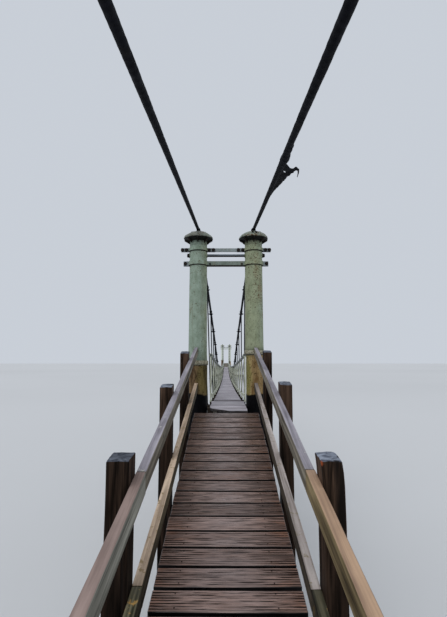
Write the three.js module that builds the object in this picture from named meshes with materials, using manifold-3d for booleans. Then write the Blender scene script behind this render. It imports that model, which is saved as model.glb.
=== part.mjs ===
// A light suspension footbridge, modelled at half its real size.
//
// Two portal towers of round steel columns carry a pair of main cables. Hangers drop from the
// cables to the cross timbers of a narrow sagging deck with braced parapets. Straight backstays
// run down from the towers to concrete anchor blocks, and a timber ramp with handrails climbs
// from the ground to the deck at each end.
//
// Axes: X across the bridge, Y along it, Z up. The origin is at mid-span, on the centreline, at
// ground level. The near end lies at negative Y, and the far end is the near end turned round.
import * as THREE from 'three';
import { mergeVertices } from 'three/addons/utils/BufferGeometryUtils.js';
import Module from 'manifold-3d';

const wasm = await Module();
wasm.setup();

// Every dimension below is a real one in millimetres. The whole bridge is scaled by this.
const MODEL_SCALE = 0.5;
// Clearance between pieces that rest on each other, which is 0.3 mm on the model.
const SEAT_GAP = 0.6;

// Span, between the tower centres
const SPAN = 44200;
const PANEL_COUNT = 32;
const PANEL = SPAN / PANEL_COUNT;

// Main cables and backstays
const CABLE_RADIUS = 22.5;
const CABLE_SIDES = 8;
const CABLE_HEIGHT = 4008;
const CABLE_SAG = 3030;
const CABLE_OFFSET_MIDSPAN = 314;
const CABLE_FLARE_LENGTH = 8400;
const CABLE_OVERRUN = 20;
const BACKSTAY_FALL = 0.1584;
const BACKSTAY_END = 16200;
const HANGER_WIDTH = 27;

// Suspended deck
const DECK_HEIGHT = 1375;
const DECK_SAG = 420;
const DECK_HALF_WIDTH = 245;
const DECK_THICKNESS = 40;
const DECK_OVERHANG = 850;
const DECK_JOINT_PANEL = 11;
const TRANSOM_HALF_LENGTH = 335;
const TRANSOM_WIDTH = 55;
const TRANSOM_DEPTH = 65;
const RUNNER_INNER = 146;
const RUNNER_OUTER = 196;
const RUNNER_DEPTH = 70;

// Parapets
const PARAPET_INNER = 256;
const PARAPET_THICKNESS = 14;
const PARAPET_HEIGHT = 750;
const STANCHION_WIDTH = 45;
const BRACE_WIDTH = 36;
const BOTTOM_RAIL_GAP = 75;
const BOTTOM_RAIL_HEIGHT = 45;
const TOP_RAIL_RADIUS = 26;
const TOP_RAIL_SIDES = 6;

// Towers
const COLUMN_OFFSET = 417;
const COLUMN_SIDES = 16;
const COLUMN_BASE_RADIUS = 141.5;
const COLUMN_FOOT_RADIUS = 137;
const COLUMN_HEAD_RADIUS = 129;
const COLUMN_HEAD = 3734;
const COLLAR_RADIUS = 156;
const COLLAR_HEIGHT = 62;
const COLLAR_LEVEL = { left: 1982, right: 2132 };

// Column caps
const FLANGE_RADIUS = 222;
const NECK_TOP = 3786;
const FLANGE_BOTTOM = 3840;
const FLANGE_TOP = 3885;
const CROWN_RADIUS = 67;
const CROWN_HEIGHT = 3961;
const DOME_STEPS = 3;
const GUSSET_COUNT = 8;
const GUSSET_REACH = 213;
const GUSSET_THICKNESS = 16;
const SADDLE_HALF_WIDTH = 40;
const SADDLE_HALF_LENGTH = 56;
const SADDLE_TOP = 3995;

// Ties between the columns
const TIE_RING_THICKNESS = 16;
const UPPER_TIE = { bottom: 3643, top: 3697, halfLength: 678, halfWidth: 13 };
const LOWER_TIE = { bottom: 3427, top: 3501, halfLength: 640, halfWidth: 40, barHeight: 56 };
const TIE_EAR_HALF_WIDTH = 18;
const TIE_ROD_RADIUS = 18;
const TIE_ROD_SIDES = 8;
const TIE_ROD_HEIGHT = 3599;
const TIE_ROD_HALF_LENGTH = 588;
const NUT_RADIUS = 32;
const NUT_LENGTH = 29;

// Ramps, whose outward distances are negative y from the tower centre
const RAMP_TOP_Y = -869;
const RAMP_TOP_HEIGHT = 1352;
const RAMP_SLOPE = 0.19;
const RAMP_FOOT_Y = -7731;
const RAMP_HALF_WIDTH = 400;
const RAMP_BOARD_THICKNESS = 40;
const STRINGER_INNER = 230;
const STRINGER_OUTER = 300;
const STRINGER_DEPTH = 150;
const STRINGER_TOP_Y = -875;
const STRINGER_FOOT_Y = -7590;
const POST_INNER = 453;
const POST_WIDTH = 100;
const POST_DEPTH = 150;
const POST_RISE = 815;
const FIRST_POST_Y = -1075;
const POST_SPACING = 1560;
const FRAME_COUNT = 4;
const BEARER_WIDTH = 100;
const BEARER_HEIGHT = 120;
const RAIL_INNER = 403;
const RAIL_START_Y = -60;
const RAIL_FOOT_Y = -7450;
const HANDRAIL = { rise: 712, depth: 105 };
const MIDRAIL = { rise: 203, depth: 102 };

// Anchor blocks
const ANCHOR_HALF_WIDTH = 700;
const ANCHOR_FACE_Y = -15900;
const ANCHOR_BACK_Y = -17150;
const ANCHOR_FACE_HEIGHT = 1650;
const ANCHOR_HEIGHT = 1750;
const ANCHOR_CHAMFER = 150;
const ANCHOR_CHAMFER_DROP = 100;
const ANCHOR_RECESS_HALF_SIZE = 90;
const ANCHOR_RECESS_DEPTH = 80;

// Colours and finishes
const FINISHES = {
  timberPost: { color: 0x3b2a22, roughness: 0.85, metalness: 0 },
  timberRail: { color: 0x8f8078, roughness: 0.8, metalness: 0 },
  timberBoard: { color: 0x4b3734, roughness: 0.6, metalness: 0 },
  deckBoard: { color: 0xa098a5, roughness: 0.8, metalness: 0 },
  frameTimber: { color: 0x4a4038, roughness: 0.85, metalness: 0 },
  paleGreenSteel: { color: 0xb5c1a4, roughness: 0.6, metalness: 0.3 },
  rustySteel: { color: 0x7a5532, roughness: 0.85, metalness: 0.4 },
  parapetSteel: { color: 0xafb9a0, roughness: 0.6, metalness: 0.3 },
  darkCable: { color: 0x1c1a19, roughness: 0.7, metalness: 0.5 },
  concrete: { color: 0x9a968c, roughness: 0.95, metalness: 0 },
};

// Turns an outline drawn in the side view, as y and z, so that its depth runs along X.
const SIDE_VIEW = new THREE.Matrix4().makeBasis(
  new THREE.Vector3(0, 1, 0),
  new THREE.Vector3(0, 0, 1),
  new THREE.Vector3(1, 0, 0),
);
// Turns an outline drawn in the front view, as x and z, so that its depth runs along -Y.
const FRONT_VIEW = new THREE.Matrix4().makeBasis(
  new THREE.Vector3(1, 0, 0),
  new THREE.Vector3(0, 0, 1),
  new THREE.Vector3(0, -1, 0),
);

// Solids

function toSolid(geometry) {
  const bare = geometry.clone();
  bare.deleteAttribute('normal');
  bare.deleteAttribute('uv');
  const merged = mergeVertices(bare);
  const corners = merged.index.array;
  const triangles = [];
  for (let i = 0; i < corners.length; i += 3) {
    const [a, b, c] = corners.slice(i, i + 3);
    if (a !== b && b !== c && c !== a) {
      triangles.push(a, b, c);
    }
  }
  const mesh = new wasm.Mesh({
    numProp: 3,
    vertProperties: Float32Array.from(merged.attributes.position.array),
    triVerts: Uint32Array.from(triangles),
  });
  return new wasm.Manifold(mesh);
}

function toGeometry(solid) {
  const mesh = solid.getMesh();
  const geometry = new THREE.BufferGeometry();
  geometry.setAttribute('position', new THREE.BufferAttribute(mesh.vertProperties, 3));
  geometry.setIndex(new THREE.BufferAttribute(mesh.triVerts, 1));
  geometry.computeVertexNormals();
  return geometry;
}

function join(geometries) {
  return geometries.map(toSolid).reduce((whole, next) => whole.add(next));
}

function cut(solid, tools) {
  return tools.map(toSolid).reduce((whole, tool) => whole.subtract(tool), solid);
}

// Basic shapes

function box([x0, x1], [y0, y1], [z0, z1]) {
  const geometry = new THREE.BoxGeometry(x1 - x0, y1 - y0, z1 - z0);
  return geometry.translate((x0 + x1) / 2, (y0 + y1) / 2, (z0 + z1) / 2);
}

function outlinePoints(outline) {
  return outline.map(([u, v]) => new THREE.Vector2(u, v));
}

function sideExtrusion(outline, [x0, x1]) {
  const shape = new THREE.Shape(outlinePoints(outline));
  const geometry = new THREE.ExtrudeGeometry(shape, { depth: x1 - x0, bevelEnabled: false });
  return geometry.applyMatrix4(SIDE_VIEW).translate(x0, 0, 0);
}

function frontExtrusion(outline, [y0, y1]) {
  const shape = new THREE.Shape(outlinePoints(outline));
  const geometry = new THREE.ExtrudeGeometry(shape, { depth: y1 - y0, bevelEnabled: false });
  return geometry.applyMatrix4(FRONT_VIEW).translate(0, y1, 0);
}

// Revolves a profile of radius and height about a vertical axis.
function turned(profile, sides, x = 0) {
  const geometry = new THREE.LatheGeometry(outlinePoints(profile), sides);
  return geometry.rotateX(Math.PI / 2).translate(x, 0, 0);
}

function tubeAlong(path, radius, sides, steps) {
  const section = new THREE.Shape();
  for (let i = 0; i < sides; i += 1) {
    const angle = (2 * Math.PI * i) / sides;
    const place = [radius * Math.cos(angle), radius * Math.sin(angle)];
    if (i === 0) {
      section.moveTo(...place);
    } else {
      section.lineTo(...place);
    }
  }
  return new THREE.ExtrudeGeometry(section, { extrudePath: path, steps, bevelEnabled: false });
}

function crossRod(radius, sides, [x0, x1], z) {
  const geometry = new THREE.CylinderGeometry(radius, radius, x1 - x0, sides);
  return geometry.rotateZ(Math.PI / 2).translate((x0 + x1) / 2, 0, z);
}

// Orders a pair of distances from the centreline for the left side, -1, or the right, 1.
function across(side, inner, outer) {
  return side < 0 ? [-outer, -inner] : [inner, outer];
}

// Shape of the hanging part, with s the distance from the near tower

function sagAt(s, depth) {
  const u = THREE.MathUtils.clamp(s / SPAN, 0, 1);
  return 4 * depth * u * (1 - u);
}

function deckTop(s) {
  return DECK_HEIGHT - sagAt(s, DECK_SAG);
}

function cableHeight(s) {
  const u = s / SPAN;
  return CABLE_HEIGHT - 4 * CABLE_SAG * u * (1 - u);
}

function cableOffset(s) {
  const fromTower = Math.min(s, SPAN - s);
  const flare = Math.max(0, 1 - fromTower / CABLE_FLARE_LENGTH);
  return CABLE_OFFSET_MIDSPAN + (COLUMN_OFFSET - CABLE_OFFSET_MIDSPAN) * flare * flare;
}

class MainCableCurve extends THREE.Curve {
  constructor(side) {
    super();
    this.side = side;
  }

  getPoint(t, target = new THREE.Vector3()) {
    const s = t * (SPAN + 2 * CABLE_OVERRUN) - CABLE_OVERRUN;
    return target.set(this.side * cableOffset(s), s, cableHeight(s));
  }
}

class TopRailCurve extends THREE.Curve {
  constructor(x) {
    super();
    this.x = x;
  }

  getPoint(t, target = new THREE.Vector3()) {
    const start = (PANEL - STANCHION_WIDTH) / 2;
    const s = start + t * (SPAN - 2 * start);
    return target.set(this.x, s, deckTop(s) + PARAPET_HEIGHT);
  }
}

// Hangers and stanchions stand at the middles of equal panels.
function panelPoints() {
  return Array.from({ length: PANEL_COUNT }, (_, k) => (k + 0.5) * PANEL);
}

// The deck is laid in three stretches that meet between hangers, each a pair of distances s.
function deckStretches() {
  const nearJoint = DECK_JOINT_PANEL * PANEL;
  const farJoint = SPAN - nearJoint;
  const half = SEAT_GAP / 2;
  return {
    near: [-DECK_OVERHANG, nearJoint - half],
    middle: [nearJoint + half, farJoint - half],
    far: [farJoint + half, SPAN + DECK_OVERHANG],
  };
}

function pointsWithin([start, end], points) {
  return points.filter((s) => s > start && s < end);
}

// A level cross timber stays clear of the sloping boards at both its edges.
function transomTop(s) {
  const edge = TRANSOM_WIDTH / 2;
  const lowest = Math.min(deckTop(s - edge), deckTop(s + edge), deckTop(s));
  return lowest - DECK_THICKNESS - SEAT_GAP;
}

function ribbonOutline([start, end], topAt, depth) {
  const inner = pointsWithin([start, end], [0, ...panelPoints(), SPAN]);
  const upper = [start, ...inner, end].map((s) => [s, topAt(s)]);
  const lower = upper.map(([s, z]) => [s, z - depth]).reverse();
  return [...upper, ...lower];
}

function suspendedDeck(stretch) {
  const outline = ribbonOutline(stretch, deckTop, DECK_THICKNESS);
  return sideExtrusion(outline, [-DECK_HALF_WIDTH, DECK_HALF_WIDTH]);
}

function deckFrame(stretch) {
  const runnerTop = (s) => deckTop(s) - DECK_THICKNESS - SEAT_GAP;
  const outline = ribbonOutline(stretch, runnerTop, RUNNER_DEPTH);
  const runners = [-1, 1].map((side) => sideExtrusion(outline, across(side, RUNNER_INNER, RUNNER_OUTER)));
  const transom = (s, reach) => {
    const top = transomTop(s);
    const edge = TRANSOM_WIDTH / 2;
    return box([-reach, reach], [s - edge, s + edge], [top - TRANSOM_DEPTH, top]);
  };
  const transoms = pointsWithin(stretch, panelPoints()).map((s) => transom(s, TRANSOM_HALF_LENGTH));
  const betweenColumns = COLUMN_OFFSET - COLUMN_BASE_RADIUS - SEAT_GAP;
  const endTransoms = pointsWithin(stretch, [0, SPAN]).map((s) => transom(s, betweenColumns));
  return toGeometry(join([...runners, ...transoms, ...endTransoms]));
}

function hanger(side, s) {
  const half = HANGER_WIDTH / 2;
  const top = [side * cableOffset(s), cableHeight(s)];
  const foot = [side * CABLE_OFFSET_MIDSPAN, transomTop(s) + SEAT_GAP];
  const outline = [
    [top[0] - half, top[1]],
    [foot[0] - half, foot[1]],
    [foot[0] + half, foot[1]],
    [top[0] + half, top[1]],
  ];
  return frontExtrusion(outline, [s - half, s + half]);
}

function mainCableTube(side, radius) {
  return tubeAlong(new MainCableCurve(side), radius, CABLE_SIDES, PANEL_COUNT);
}

function mainCable(side) {
  const hangers = panelPoints().map((s) => hanger(side, s));
  const whole = join([mainCableTube(side, CABLE_RADIUS), ...hangers]);
  const reach = 4 * CABLE_RADIUS;
  const x = [side * COLUMN_OFFSET - reach, side * COLUMN_OFFSET + reach];
  const z = [CABLE_HEIGHT - reach, CABLE_HEIGHT + reach];
  const trims = [
    box(x, [-reach, SEAT_GAP / 2], z),
    box(x, [SPAN - SEAT_GAP / 2, SPAN + reach], z),
  ];
  return toGeometry(cut(whole, trims));
}

// Triangle a, b, p drawn in by half a brace width along its two sides that meet at p
function betweenBraces(a, b, p) {
  const half = BRACE_WIDTH / 2;
  const [va, vb, vp] = outlinePoints([a, b, p]);
  const base = vb.clone().sub(va).normalize();
  const toA = va.clone().sub(vp).normalize();
  const toB = vb.clone().sub(vp).normalize();
  const sineA = Math.abs(base.cross(toA));
  const sineB = Math.abs(base.cross(toB));
  const apexAngle = Math.acos(toA.dot(toB));
  const bisector = toA.clone().add(toB).normalize();
  const cornerA = va.clone().addScaledVector(base, half / sineA);
  const cornerB = vb.clone().addScaledVector(base, -half / sineB);
  const apex = vp.clone().addScaledVector(bisector, half / Math.sin(apexAngle / 2));
  return [cornerA.toArray(), cornerB.toArray(), apex.toArray()];
}

function diagonalCrossing([a, b, c, d]) {
  const [va, vb, vc, vd] = outlinePoints([a, b, c, d]);
  const rising = vc.clone().sub(va);
  const falling = vd.clone().sub(vb);
  const along = vb.clone().sub(va).cross(falling) / rising.cross(falling);
  return va.addScaledVector(rising, along).toArray();
}

function parapet(side) {
  const stanchions = panelPoints();
  const half = STANCHION_WIDTH / 2;
  const railBottom = (s) => deckTop(s) + BOTTOM_RAIL_GAP;
  const top = stanchions.map((s) => [s, deckTop(s) + PARAPET_HEIGHT]);
  top[0][0] -= half;
  top[top.length - 1][0] += half;
  const feet = stanchions.flatMap((s, k) => {
    const foot = transomTop(s) + SEAT_GAP;
    const corners = [[s - half, foot], [s + half, foot]];
    if (k > 0) {
      corners.unshift([s - half, railBottom(s - half)]);
    }
    if (k < stanchions.length - 1) {
      corners.push([s + half, railBottom(s + half)]);
    }
    return corners;
  });
  const holes = stanchions.slice(0, -1).flatMap((s, k) => {
    const left = s + half;
    const right = stanchions[k + 1] - half;
    const lowAt = (y) => railBottom(y) + BOTTOM_RAIL_HEIGHT;
    const highAt = (y) => deckTop(y) + PARAPET_HEIGHT - TOP_RAIL_RADIUS / 2;
    const corners = [
      [left, lowAt(left)],
      [right, lowAt(right)],
      [right, highAt(right)],
      [left, highAt(left)],
    ];
    const crossing = diagonalCrossing(corners);
    return corners.map((corner, i) => betweenBraces(corner, corners[(i + 1) % 4], crossing));
  });
  const width = across(side, PARAPET_INNER, PARAPET_INNER + PARAPET_THICKNESS);
  const past = across(side, PARAPET_INNER - PARAPET_THICKNESS, PARAPET_INNER + 2 * PARAPET_THICKNESS);
  const outline = [...feet, ...top.reverse()];
  const plate = cut(toSolid(sideExtrusion(outline, width)), holes.map((hole) => sideExtrusion(hole, past)));
  const railX = side * (PARAPET_INNER + PARAPET_THICKNESS / 2);
  const rail = tubeAlong(new TopRailCurve(railX), TOP_RAIL_RADIUS, TOP_RAIL_SIDES, PANEL_COUNT);
  return toGeometry(plate.add(toSolid(rail)));
}

// One end of the bridge, with y the distance from its tower centre, negative away from the span

function backstayTube(side, radius, endY) {
  const z = (y) => CABLE_HEIGHT + BACKSTAY_FALL * y;
  const x = side * COLUMN_OFFSET;
  const start = new THREE.Vector3(x, CABLE_OVERRUN, z(CABLE_OVERRUN));
  const end = new THREE.Vector3(x, endY, z(endY));
  return tubeAlong(new THREE.LineCurve3(start, end), radius, CABLE_SIDES, 1);
}

function backstay(side) {
  const reach = 4 * CABLE_RADIUS;
  const x = [side * COLUMN_OFFSET - reach, side * COLUMN_OFFSET + reach];
  const z = [CABLE_HEIGHT - reach, CABLE_HEIGHT + reach];
  const trim = box(x, [-SEAT_GAP / 2, reach], z);
  return toGeometry(cut(toSolid(backstayTube(side, CABLE_RADIUS, -BACKSTAY_END)), [trim]));
}

function anchorBlock() {
  const outline = [
    [ANCHOR_FACE_Y, 0],
    [ANCHOR_FACE_Y, ANCHOR_FACE_HEIGHT],
    [ANCHOR_FACE_Y - ANCHOR_CHAMFER, ANCHOR_HEIGHT],
    [ANCHOR_BACK_Y + ANCHOR_CHAMFER, ANCHOR_HEIGHT],
    [ANCHOR_BACK_Y, ANCHOR_FACE_HEIGHT - (ANCHOR_CHAMFER - ANCHOR_CHAMFER_DROP)],
    [ANCHOR_BACK_Y, 0],
  ];
  const entry = CABLE_HEIGHT + BACKSTAY_FALL * ANCHOR_FACE_Y;
  const tools = [-1, 1].flatMap((side) => {
    const x = side * COLUMN_OFFSET;
    const size = ANCHOR_RECESS_HALF_SIZE;
    const y = [ANCHOR_FACE_Y - ANCHOR_RECESS_DEPTH, ANCHOR_FACE_Y + ANCHOR_RECESS_DEPTH];
    return [
      box([x - size, x + size], y, [entry - size, entry + size]),
      backstayTube(side, CABLE_RADIUS + SEAT_GAP, -BACKSTAY_END - SEAT_GAP),
    ];
  });
  const block = sideExtrusion(outline, [-ANCHOR_HALF_WIDTH, ANCHOR_HALF_WIDTH]);
  return toGeometry(cut(toSolid(block), tools));
}

function columnBaseProfile(collarLevel, clearance) {
  const collarBottom = collarLevel - COLLAR_HEIGHT / 2 - clearance;
  const collarTop = collarLevel + COLLAR_HEIGHT / 2 + clearance;
  return [
    [0, 0],
    [COLUMN_BASE_RADIUS + clearance, 0],
    [COLUMN_BASE_RADIUS + clearance, collarBottom],
    [COLLAR_RADIUS + clearance, collarBottom],
    [COLLAR_RADIUS + clearance, collarTop],
    [0, collarTop],
  ];
}

function columnBase(side, collarLevel) {
  const profile = columnBaseProfile(collarLevel, 0);
  return toGeometry(toSolid(turned(profile, COLUMN_SIDES, side * COLUMN_OFFSET)));
}

// Radius of the tapering upper column, measured up from the lower of the two collars
function columnRadius(z) {
  const foot = Math.min(COLLAR_LEVEL.left, COLLAR_LEVEL.right);
  const up = (z - foot) / (COLUMN_HEAD - foot);
  return THREE.MathUtils.lerp(COLUMN_FOOT_RADIUS, COLUMN_HEAD_RADIUS, up);
}

function columnStretch(side, z0, z1, clearance) {
  const profile = [
    [0, z0],
    [columnRadius(z0) + clearance, z0],
    [columnRadius(z1) + clearance, z1],
    [0, z1],
  ];
  return turned(profile, COLUMN_SIDES, side * COLUMN_OFFSET);
}

function columnTop(side, collarLevel) {
  const foot = collarLevel + COLLAR_HEIGHT / 2 + SEAT_GAP;
  const column = toSolid(columnStretch(side, foot, COLUMN_HEAD, 0));
  const hole = crossRod(
    TIE_ROD_RADIUS + SEAT_GAP,
    TIE_ROD_SIDES,
    across(side, 0, 2 * COLUMN_OFFSET),
    TIE_ROD_HEIGHT,
  );
  return toGeometry(cut(column, [hole]));
}

function gusset(x, angle) {
  const outline = [
    [COLUMN_HEAD_RADIUS - GUSSET_THICKNESS, COLUMN_HEAD + SEAT_GAP],
    [COLUMN_HEAD_RADIUS, COLUMN_HEAD + SEAT_GAP],
    [GUSSET_REACH, FLANGE_BOTTOM - SEAT_GAP],
    [GUSSET_REACH, FLANGE_BOTTOM + SEAT_GAP],
    [COLUMN_HEAD_RADIUS - GUSSET_THICKNESS, FLANGE_BOTTOM + SEAT_GAP],
  ];
  const half = GUSSET_THICKNESS / 2;
  return frontExtrusion(outline, [-half, half]).rotateZ(angle).translate(x, 0, 0);
}

function columnCap(side) {
  const x = side * COLUMN_OFFSET;
  const profile = [
    [0, COLUMN_HEAD + SEAT_GAP],
    [COLUMN_HEAD_RADIUS, COLUMN_HEAD + SEAT_GAP],
    [COLUMN_HEAD_RADIUS, NECK_TOP],
    [FLANGE_RADIUS, FLANGE_BOTTOM],
  ];
  for (let i = 0; i <= DOME_STEPS; i += 1) {
    const angle = (Math.PI / 2) * (i / DOME_STEPS);
    const radius = CROWN_RADIUS + (FLANGE_RADIUS - CROWN_RADIUS) * Math.cos(angle);
    profile.push([radius, FLANGE_TOP + (CROWN_HEIGHT - FLANGE_TOP) * Math.sin(angle)]);
  }
  profile.push([0, CROWN_HEIGHT]);
  const gussets = Array.from({ length: GUSSET_COUNT }, (_, i) =>
    gusset(x, (2 * Math.PI * i) / GUSSET_COUNT));
  const saddle = box(
    [x - SADDLE_HALF_WIDTH, x + SADDLE_HALF_WIDTH],
    [-SADDLE_HALF_LENGTH, SADDLE_HALF_LENGTH],
    [FLANGE_TOP, SADDLE_TOP],
  );
  const body = join([turned(profile, COLUMN_SIDES, x), ...gussets, saddle]);
  const groove = [
    mainCableTube(side, CABLE_RADIUS + SEAT_GAP),
    backstayTube(side, CABLE_RADIUS + SEAT_GAP, -BACKSTAY_END),
  ];
  return toGeometry(cut(body, groove));
}

function tieRing(side, { bottom, top }) {
  const radius = columnRadius(bottom) + TIE_RING_THICKNESS;
  return turned([[0, bottom], [radius, bottom], [radius, top], [0, top]], COLUMN_SIDES, side * COLUMN_OFFSET);
}

function tieEars(tie) {
  return [-1, 1].map((side) =>
    box(
      across(side, COLUMN_OFFSET, tie.halfLength),
      [-TIE_EAR_HALF_WIDTH, TIE_EAR_HALF_WIDTH],
      [tie.bottom, tie.top],
    ));
}

function boredForColumns(solid, tie) {
  const clearance = SEAT_GAP;
  const bores = [-1, 1].map((side) => columnStretch(side, tie.bottom - 1, tie.top + 1, clearance));
  return toGeometry(cut(solid, bores));
}

function tie(size, barBottom, barTop) {
  const rings = [-1, 1].map((side) => tieRing(side, size));
  const bar = box(
    [-COLUMN_OFFSET, COLUMN_OFFSET],
    [-size.halfWidth, size.halfWidth],
    [barBottom, barTop],
  );
  return boredForColumns(join([...rings, bar, ...tieEars(size)]), size);
}

function upperTie() {
  return tie(UPPER_TIE, UPPER_TIE.bottom, UPPER_TIE.top);
}

function lowerTie() {
  const middle = (LOWER_TIE.bottom + LOWER_TIE.top) / 2;
  const half = LOWER_TIE.barHeight / 2;
  return tie(LOWER_TIE, middle - half, middle + half);
}

function tieRod() {
  const reach = [-TIE_ROD_HALF_LENGTH, TIE_ROD_HALF_LENGTH];
  const rod = crossRod(TIE_ROD_RADIUS, TIE_ROD_SIDES, reach, TIE_ROD_HEIGHT);
  const seat = COLUMN_OFFSET + columnRadius(TIE_ROD_HEIGHT - NUT_RADIUS) + SEAT_GAP;
  const nuts = [-1, 1].map((side) =>
    crossRod(NUT_RADIUS, 6, across(side, seat, seat + NUT_LENGTH), TIE_ROD_HEIGHT));
  return toGeometry(join([rod, ...nuts]));
}

// Ramp

function rampTop(y) {
  return RAMP_TOP_HEIGHT + RAMP_SLOPE * (y - RAMP_TOP_Y);
}

// Height of a member's vertical side for a thickness measured square to the slope
function uprightDepth(thickness) {
  return thickness * Math.hypot(1, RAMP_SLOPE);
}

function slopingMember(width, [yTop, yFoot], rise, depth) {
  const drop = uprightDepth(depth);
  const outline = [
    [yTop, rampTop(yTop) + rise],
    [yTop, rampTop(yTop) + rise - drop],
    [yFoot, rampTop(yFoot) + rise - drop],
    [yFoot, rampTop(yFoot) + rise],
  ];
  return sideExtrusion(outline, width);
}

function stringerUnderside(y) {
  return rampTop(y) - uprightDepth(RAMP_BOARD_THICKNESS) - SEAT_GAP - uprightDepth(STRINGER_DEPTH);
}

function stringer(side) {
  const top = (y) => stringerUnderside(y) + uprightDepth(STRINGER_DEPTH);
  const groundY = STRINGER_TOP_Y - stringerUnderside(STRINGER_TOP_Y) / RAMP_SLOPE;
  const outline = [
    [STRINGER_TOP_Y, top(STRINGER_TOP_Y)],
    [STRINGER_TOP_Y, stringerUnderside(STRINGER_TOP_Y)],
    [groundY, 0],
    [STRINGER_FOOT_Y, 0],
    [STRINGER_FOOT_Y, top(STRINGER_FOOT_Y)],
  ];
  return sideExtrusion(outline, across(side, STRINGER_INNER, STRINGER_OUTER));
}

function postY(index) {
  return FIRST_POST_Y - index * POST_SPACING;
}

function post(side, y) {
  return box(
    across(side, POST_INNER, POST_INNER + POST_WIDTH),
    [y - POST_DEPTH / 2, y + POST_DEPTH / 2],
    [0, rampTop(y) + POST_RISE],
  );
}

function rampFrame(index) {
  const y = postY(index);
  const edge = BEARER_WIDTH / 2;
  const top = stringerUnderside(y - edge) - SEAT_GAP;
  const reach = POST_INNER + POST_WIDTH / 2;
  const bearer = box([-reach, reach], [y - edge, y + edge], [top - BEARER_HEIGHT, top]);
  return toGeometry(join([post(-1, y), post(1, y), bearer]));
}

// The upper end of each rail is scribed round the tower column and its collar.
function rail(side, collarLevel, { rise, depth }) {
  const width = across(side, RAIL_INNER, POST_INNER - SEAT_GAP);
  const timber = slopingMember(width, [RAIL_START_Y, RAIL_FOOT_Y], rise, depth);
  const column = [
    turned(columnBaseProfile(collarLevel, SEAT_GAP), COLUMN_SIDES, side * COLUMN_OFFSET),
    columnStretch(side, collarLevel, COLUMN_HEAD, SEAT_GAP),
  ];
  return toGeometry(cut(toSolid(timber), column));
}

function rampDeck() {
  const width = [-RAMP_HALF_WIDTH, RAMP_HALF_WIDTH];
  return slopingMember(width, [RAMP_TOP_Y, RAMP_FOOT_Y], 0, RAMP_BOARD_THICKNESS);
}

// Assembly

function addPiece(group, name, geometry, finish) {
  const mesh = new THREE.Mesh(geometry, new THREE.MeshStandardMaterial(FINISHES[finish]));
  mesh.name = name;
  group.add(mesh);
}

// Builds one end. Its own left side, -1, is the bridge's left side only at the near end.
function bridgeEnd(end) {
  const group = new THREE.Group();
  const facing = end === 'near' ? 1 : -1;
  const handName = (side) => (side * facing < 0 ? 'left' : 'right');
  for (const side of [-1, 1]) {
    const hand = handName(side);
    const collar = side < 0 ? COLLAR_LEVEL.left : COLLAR_LEVEL.right;
    addPiece(group, `${end}_column_base_${hand}`, columnBase(side, collar), 'rustySteel');
    addPiece(group, `${end}_column_top_${hand}`, columnTop(side, collar), 'paleGreenSteel');
    addPiece(group, `${end}_column_cap_${hand}`, columnCap(side), 'paleGreenSteel');
    addPiece(group, `${end}_backstay_${hand}`, backstay(side), 'darkCable');
    addPiece(group, `${end}_stringer_${hand}`, stringer(side), 'frameTimber');
    addPiece(group, `${end}_foot_post_${hand}`, post(side, postY(FRAME_COUNT)), 'timberPost');
    addPiece(group, `${end}_handrail_${hand}`, rail(side, collar, HANDRAIL), 'timberRail');
    addPiece(group, `${end}_midrail_${hand}`, rail(side, collar, MIDRAIL), 'timberRail');
  }
  for (let index = 0; index < FRAME_COUNT; index += 1) {
    addPiece(group, `${end}_ramp_frame_${index + 1}`, rampFrame(index), 'timberPost');
  }
  addPiece(group, `${end}_ramp_deck`, rampDeck(), 'timberBoard');
  addPiece(group, `${end}_upper_tie`, upperTie(), 'paleGreenSteel');
  addPiece(group, `${end}_lower_tie`, lowerTie(), 'paleGreenSteel');
  addPiece(group, `${end}_tie_rod`, tieRod(), 'rustySteel');
  addPiece(group, `${end}_anchor_block`, anchorBlock(), 'concrete');
  group.position.y = (-facing * SPAN) / 2;
  group.rotation.z = facing > 0 ? 0 : Math.PI;
  return group;
}

function hangingSpan() {
  const group = new THREE.Group();
  for (const side of [-1, 1]) {
    const hand = side < 0 ? 'left' : 'right';
    addPiece(group, `main_cable_${hand}`, mainCable(side), 'darkCable');
    addPiece(group, `parapet_${hand}`, parapet(side), 'parapetSteel');
  }
  for (const [place, stretch] of Object.entries(deckStretches())) {
    addPiece(group, `suspended_deck_${place}`, suspendedDeck(stretch), 'deckBoard');
    addPiece(group, `deck_frame_${place}`, deckFrame(stretch), 'frameTimber');
  }
  group.position.y = -SPAN / 2;
  return group;
}

const bridge = new THREE.Group();
bridge.add(hangingSpan(), bridgeEnd('near'), bridgeEnd('far'));
bridge.scale.setScalar(MODEL_SCALE);

export default bridge;
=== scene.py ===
"""Models the finished surfaces of a light suspension footbridge, built at half its real size.

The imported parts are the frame. Everything is modelled from the near tower, whose centre is the
origin while a piece is made: X across the bridge, Y towards the span, Z up from the ground. A
finished piece is then moved to the near end, and a copy of it is turned round for the far end.
"""
import math
import random

import bmesh
import bpy
from bpy.props import FloatProperty, FloatVectorProperty, IntProperty, PointerProperty
from mathutils import Matrix, Vector, noise


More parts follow.
